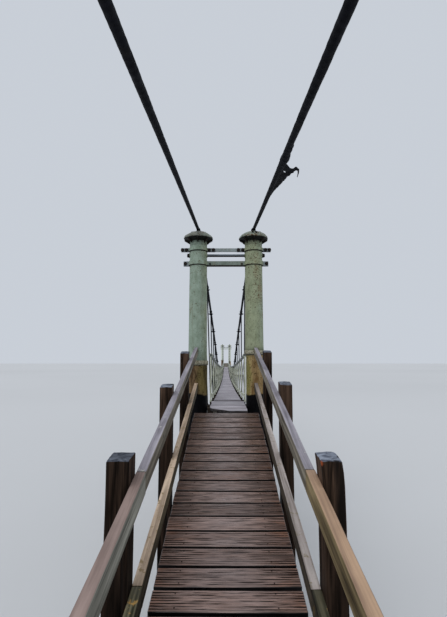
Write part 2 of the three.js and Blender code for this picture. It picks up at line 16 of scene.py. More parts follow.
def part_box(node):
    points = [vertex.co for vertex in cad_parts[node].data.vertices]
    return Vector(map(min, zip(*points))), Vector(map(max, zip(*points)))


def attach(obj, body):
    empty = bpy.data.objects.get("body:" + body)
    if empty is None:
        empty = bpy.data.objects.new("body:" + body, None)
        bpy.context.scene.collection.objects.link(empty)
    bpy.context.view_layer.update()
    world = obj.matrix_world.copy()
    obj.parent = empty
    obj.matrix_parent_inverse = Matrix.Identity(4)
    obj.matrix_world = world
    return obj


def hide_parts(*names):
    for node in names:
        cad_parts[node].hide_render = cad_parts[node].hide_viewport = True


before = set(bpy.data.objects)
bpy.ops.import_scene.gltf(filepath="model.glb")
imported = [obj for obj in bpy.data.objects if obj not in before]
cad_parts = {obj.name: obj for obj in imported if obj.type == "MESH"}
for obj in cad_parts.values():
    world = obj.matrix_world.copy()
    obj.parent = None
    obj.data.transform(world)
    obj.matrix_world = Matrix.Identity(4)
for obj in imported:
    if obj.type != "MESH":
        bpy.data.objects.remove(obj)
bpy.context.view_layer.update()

bl_info = {
    "name": "Suspension footbridge",
    "version": (1, 0, 0),
    "blender": (4, 5, 0),
    "location": "3D View > Sidebar > Footbridge",
    "description": "Models a light suspension footbridge, one kind of piece at a time",
    "category": "Object",
}

MODEL_SCALE = 0.5


def real(millimetres):
    """Turns a size on the real bridge into metres on the model."""
    return millimetres * MODEL_SCALE / 1000


def middle(node):
    low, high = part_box(node)
    return (low + high) / 2


# Places taken from the frame
TOWER_Y = middle("near_column_base_left").y
COLUMN_X = middle("near_column_base_right").x
SPAN = -2 * TOWER_Y
BLOCK_LOW, BLOCK_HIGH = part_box("near_anchor_block")

# The gap between two pieces that meet
GAP = real(0.6)

# Ramp
RAMP_SLOPE = 0.19
SLOPE_ANGLE = math.atan(RAMP_SLOPE)
SLOPE_LENGTH = math.hypot(1, RAMP_SLOPE)
RAMP_TOP_Y = real(-869)
RAMP_TOP_HEIGHT = real(1352)
RAMP_HALF_WIDTH = real(400)
BOARD_THICKNESS = real(40)
RAMP_BOARD_COUNT = 39
RAMP_BOARD_PITCH = real(179.1)
UPPER_BOARDS_START = real(-2750)
UPPER_BOARDS_RUN = real(1200)
UPPER_BOARDS_SHIFT = real(45)
STRINGER_INNER = real(230)
STRINGER_OUTER = real(300)
STRINGER_DEPTH = real(150)
STRINGER_TOP_Y = real(-875)
STRINGER_FOOT_Y = real(-7590)
POST_INNER = real(453)
POST_WIDTH = real(100)
POST_DEPTH = real(150)
POST_RISE = real(815)
FIRST_POST_Y = real(-1075)
POST_SPACING = real(1560)
POST_COUNT = 5
BEARER_WIDTH = real(100)
BEARER_HEIGHT = real(120)
RAIL_INNER = real(403)
RAIL_OUTER = real(452.4)
RAIL_FOOT_Y = real(-7450)
HANDRAIL_SEAM_Y = {"left": real(-4101), "right": real(-4072)}
MIDRAIL_SEAM_Y = {"left": real(-4144), "right": real(-4164)}
HANDRAIL_RISE = real(712)
HANDRAIL_DEPTH = real(105)
MIDRAIL_RISE = real(203)
MIDRAIL_DEPTH = real(102)

# Tower
COLLAR_LEVEL = {"left": real(1982), "right": real(2132)}
COLLAR_HEIGHT = real(62)
COLLAR_RADIUS = real(156)
BASE_RADIUS = {"left": real(143), "right": real(133)}
BASE_SHIFT = {"left": 0.0, "right": real(10)}
COATING_TOP = real(1540)
COLUMN_FOOT_RADIUS = real(137)
COLUMN_HEAD_RADIUS = real(129)
COLUMN_HEAD = real(3734)
NECK_TOP = real(3786)
FLANGE_RADIUS = real(222)
FLANGE_BOTTOM = real(3840)
GUSSET_REACH = real(213)
SADDLE_TOP = real(3995)
UPPER_TIE = (real(3651), real(3704))
LOWER_TIE = (real(3427), real(3501))
ROD_HEIGHT = real(3593)
ROD_RADIUS = real(22)
TIE_EAR = (real(5), real(18))
EAR_START = COLUMN_X + real(126)

# Cables and the hanging span
CABLE_RADIUS = real(22.5)
CABLE_TOP = real(4008)
CABLE_SAG = real(3030)
CABLE_MID_X = real(314)
CABLE_FLARE = real(8400)
CABLE_LAP = real(66)
BACKSTAY_FALL = 0.1584
BACKSTAY_END = real(16200)
BACKSTAY_BOW = 0.0017
BOW_RETURN = 0.66
BOW_END = real(15900)
BACKSTAY_SPREAD = real(9)
SPREAD_LOSS = 0.0018
SWAY = real(30)
SWAY_SPREAD = real(10)
PANEL_COUNT = 32
PANEL = SPAN / PANEL_COUNT
DECK_TOP = real(1375)
DECK_SAG = real(420)
DECK_HALF_WIDTH = real(252)
DECK_THICKNESS = real(40)
DECK_BAY_BOARDS = 8
DECK_BOARD_PITCH = PANEL / DECK_BAY_BOARDS
WIDE_JOINT_BOARD = 5
WIDE_JOINT = real(22)
LONG_BOARDS_END = real(1200)
LONG_BOARDS_DROP = real(13)
JOINT_PANELS = {"near": (None, 11), "middle": (11, 21), "far": (21, None)}
DECK_OVERHANG = real(850)
TRANSOM_HALF_LENGTH = real(335)
TRANSOM_WIDTH = real(55)
TRANSOM_DEPTH = real(65)
TOWER_TRANSOM_DEPTH = real(125)
RUNNER_INNER = real(146)
RUNNER_OUTER = real(196)
RUNNER_DEPTH = real(70)
PARAPET_X = real(256)
PARAPET_HEIGHT = real(750)
FLAT_THICKNESS = real(7)
STANCHION_HALF = real(22.5)
TOP_RAIL_RADIUS = real(26)

NEAR = Matrix.Translation((0, TOWER_Y, 0))
FAR = Matrix.Diagonal((-1, -1, 1, 1)) @ NEAR
HANDS = {"left": -1, "right": 1}
OTHER_HAND = {"left": "right", "right": "left"}


# Lines of the bridge, all measured from the near tower

def held(value, low=0, high=1):
    """The value itself, or the nearer of the two limits."""
    return min(max(value, low), high)

def ramp_top(y):
    return RAMP_TOP_HEIGHT + RAMP_SLOPE * (y - RAMP_TOP_Y)


def sag_at(s):
    u = held(s / SPAN)
    return 4 * u * (1 - u)


def deck_top(s):
    return DECK_TOP - DECK_SAG * sag_at(s)


def cable_point(side, s):
    from_tower = min(s, SPAN - s)
    flare = max(0, 1 - from_tower / CABLE_FLARE)
    x = CABLE_MID_X + (COLUMN_X - CABLE_MID_X) * flare * flare
    return Vector((side * x, s, CABLE_TOP - CABLE_SAG * sag_at(s)))


def backstay_point(side, y):
    """A backstay spreads a little where it leaves the cap, and bows sideways on its way down."""
    bow = BACKSTAY_BOW * max(0, min(-y, BOW_RETURN * (BOW_END + y)))
    spread = side * max(0, BACKSTAY_SPREAD + SPREAD_LOSS * y)
    return Vector((side * COLUMN_X + bow + spread, y, CABLE_TOP + BACKSTAY_FALL * y))


def swayed(co):
    """Where a point of the hanging part stands: near the first tower it is wide and off to the right."""
    side = held(co.x / PARAPET_X, -1)
    return Vector((co.x + (SWAY + SWAY_SPREAD * side) * (1 - co.y / SPAN), co.y, co.z))


def column_radius(z):
    up = (z - COLLAR_LEVEL["left"]) / (COLUMN_HEAD - COLLAR_LEVEL["left"])
    return COLUMN_FOOT_RADIUS + (COLUMN_HEAD_RADIUS - COLUMN_FOOT_RADIUS) * up


def panel_points():
    return [(k + 0.5) * PANEL for k in range(PANEL_COUNT)]


# Modelling helpers

def clear_selection():
    bpy.ops.object.select_all(action="DESELECT")


def pick(*pieces):
    clear_selection()
    for piece in pieces:
        piece.select_set(True)
    bpy.context.view_layer.objects.active = pieces[0]


def edit(piece, element="VERT", chosen=None):
    """Opens a piece in edit mode, all of it selected, or the edges or faces that chosen(part) picks."""
    pick(piece)
    bpy.ops.object.mode_set(mode="EDIT")
    bpy.ops.mesh.select_mode(type=element)
    bpy.ops.mesh.select_all(action="DESELECT" if chosen else "SELECT")
    if chosen:
        shell = bmesh.from_edit_mesh(piece.data)
        for part in shell.edges if element == "EDGE" else shell.faces:
            part.select_set(chosen(part))
        bmesh.update_edit_mesh(piece.data)


def done_editing():
    bpy.ops.object.mode_set(mode="OBJECT")


def fresh_piece():
    """The piece that was just added, with its place and size taken into its mesh."""
    bpy.ops.object.transform_apply(location=True, rotation=True, scale=True)
    return bpy.context.object


def push_out(distance):
    """Extrudes what is selected along Z."""
    bpy.ops.mesh.extrude_region_move(TRANSFORM_OT_translate={"value": (0, 0, distance)})


def apply_modifier(piece, kind, **settings):
    pick(piece)
    modifier = piece.modifiers.new(kind.title(), kind)
    for key, value in settings.items():
        setattr(modifier, key, value)
    bpy.ops.object.modifier_apply(modifier=modifier.name)


def chamfer(piece, width, segments=1):
    apply_modifier(piece, "BEVEL", width=width, segments=segments, limit_method="ANGLE",
                   angle_limit=math.radians(40))
    return piece


def outward(piece):
    edit(piece)
    bpy.ops.mesh.remove_doubles(threshold=real(0.02))
    bpy.ops.mesh.normals_make_consistent(inside=False)
    done_editing()
    return piece


def smooth(piece, degrees=35):
    pick(piece)
    bpy.ops.object.shade_smooth_by_angle(angle=math.radians(degrees))
    return piece


def cut_across(piece, axis, count):
    """Cuts each edge that runs along an axis into count + 1 lengths."""
    def runs_along(edge):
        run = edge.verts[1].co - edge.verts[0].co
        return abs(run[axis]) > 0.9 * run.length
    edit(piece, "EDGE", runs_along)
    bpy.ops.mesh.subdivide(number_cuts=count)
    done_editing()


def block(start, end, arris=0.0, cuts=(), segments=1):
    """A cuboid between two opposite corners, cut for each (axis, count), its edges eased."""
    clear_selection()
    start, end = Vector(start), Vector(end)
    bpy.ops.mesh.primitive_cube_add(size=1, location=(start + end) / 2)
    bpy.context.object.scale = [abs(size) for size in end - start]
    piece = fresh_piece()
    for axis, count in cuts:
        cut_across(piece, axis, count)
    return chamfer(piece, arris, segments) if arris else piece


def bisect(piece, point, normal, clear=False, fill=False):
    edit(piece)
    bpy.ops.mesh.bisect(plane_co=point, plane_no=normal, clear_outer=clear, use_fill=fill)
    done_editing()


def reshape(piece, rule):
    for vertex in piece.data.vertices:
        vertex.co = rule(vertex.co)
    return piece


def drape(piece, height):
    """Hangs a piece that was modelled flat from a line of heights."""
    return reshape(piece, lambda co: Vector((co.x, co.y, co.z + height(co.y))))


def weather(piece, depth, size, seed=0.0):
    """Pushes the surface in and out by up to depth, in hollows of about that size."""
    shift = Vector((seed * 7.3, seed * 3.7, seed * 5.1))
    return reshape(piece, lambda co: co + noise.noise_vector(co / size + shift) * depth)


def swollen(co, factor):
    """A point of an upright tube, moved out from its axis."""
    return Vector((co.x * factor, co.y * factor, co.z))


def own_copy(piece):
    twin = piece.copy()
    twin.data = piece.data.copy()
    bpy.context.collection.objects.link(twin)
    return twin


def stamped(master, places):
    """Copies of a master, one at each place. The master itself is used up."""
    twins = []
    for place in places:
        twin = own_copy(master)
        twin.data.transform(place)
        twins.append(twin)
    bpy.data.objects.remove(master)
    return twins


def joined(pieces):
    pick(*pieces)
    if len(pieces) > 1:
        bpy.ops.object.join()
    return bpy.context.object


def store(piece, name, values):
    """Keeps one number for each vertex under a name that the materials read."""
    piece.data.attributes.new(name, "FLOAT", "POINT").data.foreach_set("value", values)
    return piece


def tint(piece, value):
    """Stores how much lighter or darker than its neighbours a piece is."""
    return store(piece, "tone", [value] * len(piece.data.vertices))


def facing(point, direction):
    """The place of a piece that stands on a point and looks in a direction."""
    turn = Vector(direction).to_track_quat("Z", "Y").to_matrix().to_4x4()
    return Matrix.Translation(point) @ turn


def revolve(profile, sides, centre=(0, 0), closed=False):
    """Turns a profile of (radius, height) points: solid from end to end, or a closed ring."""
    clear_selection()
    x, y = centre
    radius, height = profile[0]
    bpy.ops.mesh.primitive_circle_add(vertices=sides, radius=radius, location=(x, y, height),
                                      fill_type="NOTHING" if closed else "NGON")
    piece = fresh_piece()
    edit(piece)
    for next_radius, next_height in profile[1:] + (profile[:1] if closed else []):
        push_out(next_height - height)
        grow = next_radius / radius
        bpy.ops.transform.resize(value=(grow, grow, 1), center_override=(x, y, next_height))
        radius, height = next_radius, next_height
    done_editing()
    return outward(piece)


def risers(low, high, count):
    """Points on the straight line between two profile points, ends included."""
    steps = [i / count for i in range(count + 1)]
    return [(low[0] + (high[0] - low[0]) * t, low[1] + (high[1] - low[1]) * t) for t in steps]


def tube_blank(radius, length, sides, steps):
    """A straight tube along Z, cut into equal rings and closed at both ends."""
    clear_selection()
    step = length / steps
    bpy.ops.mesh.primitive_cylinder_add(vertices=sides, radius=radius, depth=step,
                                        end_fill_type="NOTHING", location=(0, 0, step / 2))
    piece = fresh_piece()
    apply_modifier(piece, "ARRAY", count=steps, use_relative_offset=False, use_constant_offset=True,
                   constant_offset_displace=(0, 0, step), use_merge_vertices=True,
                   merge_threshold=step / 20)
    edit(piece, "EDGE", lambda edge: edge.is_boundary)
    bpy.ops.mesh.fill_holes(sides=0)
    done_editing()
    return outward(piece)


def bend_along(piece, point_at):
    """Bends a piece made along Z so that its axis follows point_at(distance)."""
    step = real(5)

    def rule(co):
        ahead = (point_at(co.z + step) - point_at(co.z - step)).normalized()
        beside = ahead.cross(Vector((0, 0, 1))).normalized()
        above = beside.cross(ahead)
        return point_at(co.z) + beside * co.x + above * co.y
    return outward(reshape(piece, rule))


def prism(sides, radius, foot, height, arris):
    """An upright prism on the Z axis, its edges eased."""
    clear_selection()
    bpy.ops.mesh.primitive_cylinder_add(vertices=sides, radius=radius, depth=height,
                                        location=(0, 0, foot + height / 2))
    return chamfer(fresh_piece(), arris)


def hex_bolt(across, height, washer, stub=0):
    """A hexagon head on its washer along Z, with any thread end, sized in real millimetres."""
    across, height, washer, stub = real(across), real(height), real(washer), real(stub)
    plate = real(5)
    pieces = [prism(14, washer / 2, 0, plate, plate / 4),
              prism(6, across / 2 / math.cos(math.pi / 6), plate, height, height / 8)]
    if stub:
        pieces.append(prism(10, across / 3.4, plate + height, stub, real(2)))
    return joined(pieces)


def fixings(places, *sizes):
    """Dark bolts of one size, one at each place."""
    return paint(joined(stamped(hex_bolt(*sizes), places)), "bolt")


# Material helpers

class Maker:
    """Builds one node material, socket by socket."""

    def __init__(self, name, shine=0.25, roughness=0.7):
        self.material = bpy.data.materials.new(name)
        self.material.use_nodes = True
        self.tree = self.material.node_tree
        self.shader = self.tree.nodes["Principled BSDF"]
        self.shader.inputs["Roughness"].default_value = roughness
        self.shader.inputs["Specular IOR Level"].default_value = shine
        self.place = self.node("TexCoord").outputs["Object"]

    def feed(self, socket, value):
        """Links a socket to another node's output, or sets it to a plain value or colour."""
        if isinstance(value, bpy.types.NodeSocket):
            self.tree.links.new(value, socket)
        elif socket.type == "RGBA":
            socket.default_value = (*value, 1.0)
        else:
            socket.default_value = value

    def node(self, kind, feeds=None, **settings):
        """Adds a shader node with these settings, and feeds each of its named inputs."""
        made = self.tree.nodes.new("ShaderNode" + kind)
        for key, value in settings.items():
            setattr(made, key, value)
        for name, value in (feeds or {}).items():
            self.feed(made.inputs[name], value)
        return made

    def split(self, vector):
        return self.node("SeparateXYZ", {"Vector": vector}).outputs

    def ramp_place(self):
        """The place with its height taken from the slope, so that both ramps lie level."""
        x, run, height = self.split(self.place)
        outward_run = self.maths("MAXIMUM", run, self.maths("MULTIPLY", run, -1))
        level = self.maths("ADD", height, self.maths("MULTIPLY", outward_run, RAMP_SLOPE))
        return self.node("CombineXYZ", {"X": x, "Y": run, "Z": level}).outputs["Vector"]

    def along(self, axis, sloping=False):
        return self.split(self.ramp_place() if sloping else self.place)[axis]

    def stretched(self, scale, shift=(0, 0, 0), sloping=False):
        place = self.ramp_place() if sloping else self.place
        return self.node("Mapping", {"Vector": place, "Scale": scale, "Location": shift}).outputs["Vector"]

    def noise(self, scale, vector=None, detail=4.0, roughness=0.55, distortion=0.0):
        return self.node("TexNoise", {"Vector": vector or self.place, "Scale": scale, "Detail": detail,
                                      "Roughness": roughness, "Distortion": distortion}).outputs["Fac"]

    def band(self, value, low, high, start=0.0, end=1.0):
        """Maps a value from low..high to start..end, held at both ends."""
        return self.node("MapRange", {"Value": value, "From Min": low, "From Max": high,
                                      "To Min": start, "To Max": end}).outputs["Result"]

    def maths(self, operation, first, second=0.0):
        return self.node("Math", {0: first, 1: second}, operation=operation).outputs[0]

    def product(self, first, second):
        return self.maths("MULTIPLY", first, second)

    def mix(self, factor, first, second, blend="MIX"):
        return self.node("Mix", {0: factor, 6: first, 7: second},
                         data_type="RGBA", blend_type=blend).outputs[2]

    def valued(self, colour, value):
        """A colour made lighter or darker by a factor."""
        return self.node("HueSaturation", {"Color": colour, "Value": value}).outputs["Color"]

    def attribute(self, name):
        return self.node("Attribute", attribute_name=name).outputs["Fac"]

    def upness(self):
        """How much the surface faces up, from its own normal."""
        return self.split(self.node("NewGeometry").outputs["Normal"])["Z"]

    def painted_underside_shade(self, colour, least, level=-0.05):
        """Darkens faces that look down: painted shade on undersides."""
        return self.valued(colour, self.band(self.upness(), level - 0.5, level, least, 1.0))

    def bump(self, height, depth, strength=1.0, below=None):
        feeds = {"Height": height, "Distance": depth, "Strength": strength}
        if below:
            feeds["Normal"] = below
        return self.node("Bump", feeds).outputs["Normal"]

    def finish(self, colour, roughness=None, normal=None):
        for name, value in (("Base Color", colour), ("Roughness", roughness), ("Normal", normal)):
            if value is not None:
                self.feed(self.shader.inputs[name], value)
        return self.material


def timber_material(name, grain, top, side, sloping=False, growth=None, growth_share=0.0,
                    softness=0.3, cracks=0.35, shine=0.15, knot=None, foot_shade=None):
    """Weathered timber, with top and side each a pair of dark and light colours.

    grain is the stretch of the pattern along X, Y and Z: small along the timber's length.
    growth is the colour of lichen or algae on the upper faces, and a knot is a place and a
    colour. Between the two heights given for the foot, the timber darkens downwards as painted
    shade, measured as if the ramp were level.
    """
    maker = Maker(name, shine)
    flow = maker.stretched(grain, sloping=sloping)
    streaks = maker.noise(60, flow, detail=6, roughness=0.62, distortion=0.6)
    fine = maker.noise(260, flow, detail=3, roughness=0.6)
    patches = maker.noise(5, detail=5, roughness=0.6)
    grain_value = maker.band(streaks, 0.5 - softness / 2, 0.5 + softness / 2)
    up = maker.band(maker.upness(), 0.35, 0.75)
    # The side colours stand partly for weathering and partly for painted shade on faces that do not look up
    colour = maker.mix(up, maker.mix(grain_value, *side), maker.mix(grain_value, *top))
    colour = maker.mix(maker.band(patches, 0.35, 0.7, 0.0, 0.45), colour, (0.35, 0.32, 0.32), "MULTIPLY")
    colour = maker.valued(colour, maker.band(maker.attribute("tone"), -1, 1, 0.55, 1.45))
    # Painted shade: darker towards the foot, between the two given heights
    if foot_shade:
        colour = maker.valued(colour, maker.band(maker.along("Z", sloping=True), *foot_shade, 0.36, 1.1))
    if growth:
        spots = maker.noise(38, detail=6, roughness=0.7)
        threshold = 0.66 - 0.3 * growth_share
        cover = maker.product(maker.band(spots, threshold, threshold + 0.06),
                              maker.band(up, 0, 1, 0.35, 1.0))
        colour = maker.mix(maker.product(cover, 0.8), colour, growth)
    splits = maker.noise(24, flow, detail=2, roughness=0.5, distortion=0.3)
    split = maker.band(splits, cracks, cracks - 0.03)
    colour = maker.mix(maker.product(split, 0.9), colour, (0.008, 0.006, 0.005))
    if knot:
        place, knot_colour = knot
        gap = maker.node("VectorMath", {0: maker.place, 1: place}, operation="DISTANCE")
        colour = maker.mix(maker.band(gap.outputs["Value"], real(7), real(17), 1, 0), colour, knot_colour)
    # Painted shade: faces that look down are darkened
    colour = maker.painted_underside_shade(colour, 0.3)
    normal = maker.bump(fine, real(1.2), 0.5)
    normal = maker.bump(streaks, real(3), 0.6, normal)
    normal = maker.bump(maker.maths("SUBTRACT", 1, split), real(4), 0.8, normal)
    return maker.finish(colour, maker.band(patches, 0.35, 0.65, 0.6, 0.8), normal)


def rail_material(name, top, side, **settings):
    """Timber whose grain runs up the ramp."""
    return timber_material(name, (1, 0.035, 1), top, side, sloping=True, **settings)


def post_material():
    """Dark posts, with painted shade darkening them towards the ramp, and a red knot at the top of one of
    them.
    """
    deck_level = RAMP_TOP_HEIGHT + RAMP_SLOPE * (abs(TOWER_Y) - RAMP_TOP_Y)
    y = post_y(2)
    knot_place = (POST_INNER - real(13), TOWER_Y + y - POST_DEPTH / 2 + real(8),
                  ramp_top(y) + POST_RISE - real(8))
    return timber_material(
        "dark_post_timber", (1, 1, 0.05), ((0.05, 0.057, 0.075), (0.185, 0.205, 0.245)),
        ((0.006, 0.0035, 0.002), (0.088, 0.054, 0.037)), softness=0.24, cracks=0.38, shine=0.05,
        # painted shade on the lower part of each post
        foot_shade=(deck_level + real(250), deck_level + real(740)),
        knot=(knot_place, (0.36, 0.085, 0.03)))


def ramp_board_material():
    """Wet dark boards: red brown with a grey bloom in the trodden middle, and painted shade that makes the
    grooves and the sides of each board black.
    """
    settings = bpy.context.scene.footbridge_timber
    maker = Maker("wet_ramp_board", shine=0.3)
    streaks = maker.noise(150, maker.stretched((0.06, 1, 1)), detail=6, roughness=0.65, distortion=0.4)
    broad = maker.noise(9, maker.stretched((0.5, 1.6, 1)), detail=4, roughness=0.6)
    grain_value = maker.band(streaks, 0.36, 0.62)
    colour = maker.mix(grain_value, tuple(settings.ramp_dark), tuple(settings.ramp_light))
    reach = maker.maths("ABSOLUTE", maker.along("X"))
    trodden = maker.band(maker.maths("ADD", reach, maker.band(broad, 0.3, 0.7, -0.06, 0.06)),
                         real(90), real(360), 1, 0)
    worn = maker.product(maker.band(broad, 0.35, 0.62, 0.2, 0.85), maker.band(grain_value, 0, 1, 0.45, 1))
    colour = maker.mix(maker.product(trodden, worn), colour, tuple(settings.ramp_bloom))
    stain = maker.noise(22, maker.stretched((0.35, 1, 1), shift=(3, 1, 0)), detail=5, roughness=0.7)
    ends = maker.band(reach, real(180), real(400))
    rusty = maker.product(maker.band(stain, 0.54, 0.66), maker.product(ends, 0.75))
    colour = maker.mix(rusty, colour, (0.27, 0.13, 0.08))
    colour = maker.valued(colour, maker.band(maker.attribute("tone"), -1, 1, 0.6, 1.4))
    # Painted shade: the groove floors go nearly black where the grooves are still deep
    furrow = maker.band(maker.attribute("furrow"), 0.1, 0.75)
    colour = maker.mix(maker.product(furrow, 0.95), colour, (0.008, 0.005, 0.004))
    # Painted shade: faces that do not look up, the sides and ends of each board, go nearly black
    colour = maker.mix(maker.band(maker.upness(), 0.55, 0.9), (0.004, 0.003, 0.003), colour)
    water = maker.noise(30, maker.stretched((0.3, 1, 1)), detail=4, roughness=0.6)
    return maker.finish(colour, maker.band(water, 0.36, 0.66, 0.2, 0.55),
                        maker.bump(streaks, real(1.6), 0.45))


def painted_material(name, cool, warm, rust=0.5, grime=0.4, below=0.12, shade_heights=None):
    """Old pale green paint, bluer on the left column and yellower on the right, with rust.

    It is made paler towards the far tower, as painted light, and below is how dark the painted
    shade is on faces that look down. Between the two heights given last, it darkens upwards in
    streaks, as painted shade under the cap's flange.
    """
    maker = Maker(name, shine=0.2)
    broad = maker.noise(3.2, detail=4, roughness=0.6)
    lean = maker.maths("ADD", maker.band(maker.along("X"), -COLUMN_X, COLUMN_X, -0.32, 0.32), broad)
    inner = maker.band(maker.maths("ABSOLUTE", maker.along("X")), COLUMN_X - real(120),
                       COLUMN_X + real(120), 0.24, -0.24)
    colour = maker.mix(maker.band(maker.maths("ADD", lean, inner), 0.3, 0.7), cool, warm)
    mottle = maker.noise(26, maker.stretched((1, 1, 0.6)), detail=6, roughness=0.7)
    colour = maker.mix(maker.band(mottle, 0.4, 0.66, 0, 0.7), colour, (0.50, 0.53, 0.46), "MULTIPLY")
    runs = maker.noise(34, maker.stretched((1, 1, 0.07)), detail=4, roughness=0.6)
    dirt = maker.product(maker.band(runs, 0.54, 0.72), grime)
    colour = maker.mix(dirt, colour, (0.16, 0.15, 0.10))
    specks = maker.noise(85, detail=5, roughness=0.75)
    patch = maker.noise(7, maker.stretched((1, 1, 0.6), shift=(2, 5, 1)), detail=5, roughness=0.65)
    right = maker.band(maker.along("X"), -0.02, 0.02, -0.002, 0.022)
    spread = maker.maths("ADD", right, maker.band(patch, 0.35, 0.65, -0.05, 0.05))
    speck = maker.band(maker.maths("ADD", specks, spread), 0.70 - 0.12 * rust, 0.73 - 0.12 * rust)
    colour = maker.mix(speck, colour, (0.085, 0.05, 0.025))
    bloom = maker.product(maker.band(patch, 0.56, 0.72), 0.7 * rust)
    colour = maker.mix(bloom, colour, (0.24, 0.175, 0.085))
    # Painted light: the paint grows paler towards the far tower
    colour = maker.mix(maker.band(maker.along("Y"), 0, -TOWER_Y, 0, 0.7), colour, (0.80, 0.84, 0.72))
    # Painted shade under the cap's flange: darker upwards between the two heights, in streaks
    if shade_heights:
        level = maker.maths("ADD", maker.along("Z"), maker.band(runs, 0.35, 0.65, -real(16), real(16)))
        colour = maker.valued(colour, maker.band(level, *shade_heights, 1.0, 0.25))
    normal = maker.bump(mottle, real(3), 0.3, maker.bump(specks, real(1.2), 0.35))
    # Painted shade on faces that look down, as dark as below gives
    return maker.finish(maker.painted_underside_shade(colour, below), maker.band(mottle, 0.3, 0.7, 0.45, 0.75), normal)


def column_base_material():
    """Rusted pipe: brown and olive on the left, ochre on the right, black coating at its foot."""
    maker = Maker("rusted_column_base", shine=0.06)
    runs = maker.noise(16, maker.stretched((1, 1, 0.25)), detail=6, roughness=0.7, distortion=0.4)
    patch = maker.noise(6, maker.stretched((1, 1, 0.5), shift=(1, 2, 3)), detail=5, roughness=0.65)
    streak = maker.band(runs, 0.38, 0.62)
    side = maker.band(maker.along("X"), -0.02, 0.02)
    rust_colour = maker.mix(side, maker.mix(streak, (0.06, 0.037, 0.02), (0.31, 0.205, 0.11)),
                            maker.mix(streak, (0.16, 0.092, 0.035), (0.43, 0.31, 0.15)))
    green = maker.mix(side, maker.mix(streak, (0.05, 0.04, 0.015), (0.215, 0.165, 0.066)),
                      maker.mix(streak, (0.125, 0.11, 0.034), (0.32, 0.285, 0.10)))
    inner = maker.maths("ADD", maker.maths("ABSOLUTE", maker.along("X")),
                        maker.band(patch, 0.3, 0.7, -0.05, 0.05))
    inner = maker.band(inner, COLUMN_X - real(80), COLUMN_X + real(10), 1, 0)
    colour = maker.mix(inner, rust_colour, green)
    specks = maker.noise(90, detail=5, roughness=0.75)
    colour = maker.mix(maker.band(specks, 0.57, 0.62), colour, (0.035, 0.022, 0.012))
    collar_paint = maker.mix(maker.band(specks, 0.42, 0.6), (0.42, 0.41, 0.31), (0.15, 0.125, 0.08))
    colour = maker.mix(maker.attribute("collar"), colour, collar_paint)
    edge = maker.maths("ADD", maker.along("Z"), maker.band(patch, 0.3, 0.7, -real(34), real(34)))
    coated = maker.band(edge, COATING_TOP - real(8), COATING_TOP + real(8), 1, 0)
    tar = maker.mix(maker.band(specks, 0.4, 0.7), (0.001, 0.001, 0.0015), (0.005, 0.005, 0.006))
    # Painted shade on faces that look down
    colour = maker.painted_underside_shade(maker.mix(coated, colour, tar), 0.1)
    normal = maker.bump(runs, real(4), 0.4, maker.bump(specks, real(1.6), 0.5))
    return maker.finish(colour, maker.band(coated, 0, 1, 0.85, 0.5), normal)


def cable_material(name, pitch):
    """Black wrapping tape, dull, with the lap of each turn standing proud."""
    maker = Maker(name, shine=0.06)
    lumps = maker.noise(40, detail=5, roughness=0.65)
    dust = maker.noise(12, detail=4, roughness=0.6)
    colour = maker.mix(maker.band(lumps, 0.35, 0.7), (0.0015, 0.002, 0.004), (0.010, 0.011, 0.016))
    colour = maker.mix(maker.product(maker.band(dust, 0.55, 0.7), 0.4), colour, (0.030, 0.028, 0.026))
    # A wave texture of scale 1 repeats each 0.314 m
    laps = maker.node("TexWave", {"Vector": maker.place, "Scale": 0.314 / pitch, "Distortion": 1.2},
                      wave_type="BANDS", bands_direction="Y")
    normal = maker.bump(laps.outputs["Fac"], real(2), 0.5, maker.bump(lumps, real(2), 0.5))
    return maker.finish(colour, maker.band(dust, 0.3, 0.7, 0.6, 0.85), normal)


def bolt_material():
    maker = Maker("dark_bolt_steel", shine=0.15)
    spots = maker.noise(140, detail=4, roughness=0.7)
    colour = maker.mix(maker.band(spots, 0.4, 0.65), (0.004, 0.004, 0.005), (0.035, 0.022, 0.015))
    return maker.finish(colour, maker.band(spots, 0.3, 0.7, 0.6, 0.85), maker.bump(spots, real(1), 0.5))


def rod_material():
    maker = Maker("weathered_rod_steel", shine=0.2)
    spots = maker.noise(60, maker.stretched((0.3, 1, 1)), detail=5, roughness=0.7)
    colour = maker.mix(maker.band(spots, 0.35, 0.65), (0.16, 0.185, 0.205), (0.28, 0.325, 0.355))
    # Painted shade: faces that do not look up go nearly black, so the rod is pale on top and dark beneath
    colour = maker.painted_underside_shade(colour, 0.01, 0.2)
    return maker.finish(colour, maker.band(spots, 0.3, 0.7, 0.45, 0.8), maker.bump(spots, real(1), 0.5))


def concrete_material():
    """Grey cast concrete with dark runs, and moss that thins out towards the top."""
    maker = Maker("weathered_concrete")
    broad = maker.noise(2.5, detail=6, roughness=0.6)
    grit = maker.noise(150, detail=4, roughness=0.7)
    runs = maker.noise(9, maker.stretched((1, 1, 0.12)), detail=5, roughness=0.6)
    colour = maker.mix(maker.band(broad, 0.3, 0.7), (0.11, 0.10, 0.08), (0.26, 0.24, 0.20))
    colour = maker.mix(maker.product(maker.band(runs, 0.52, 0.7), 0.6), colour, (0.10, 0.10, 0.075))
    colour = maker.mix(maker.band(grit, 0.62, 0.7, 0, 0.5), colour, (0.13, 0.12, 0.11))
    lift = maker.band(maker.along("Z"), 0, real(700), -1.0, 1.0)
    moss = maker.band(maker.maths("SUBTRACT", broad, maker.product(lift, 0.12)), 0.52, 0.62)
    colour = maker.mix(maker.product(moss, 0.6), colour, (0.075, 0.085, 0.035))
    return maker.finish(colour, 0.92, maker.bump(broad, real(12), 0.3, maker.bump(grit, real(1.5), 0.5)))


MATERIALS = {}


def material(name):
    """Each finish is made once, when the first piece needs it."""
    if name not in MATERIALS:
        MATERIALS[name] = MATERIAL_MAKERS[name]()
    return MATERIALS[name]


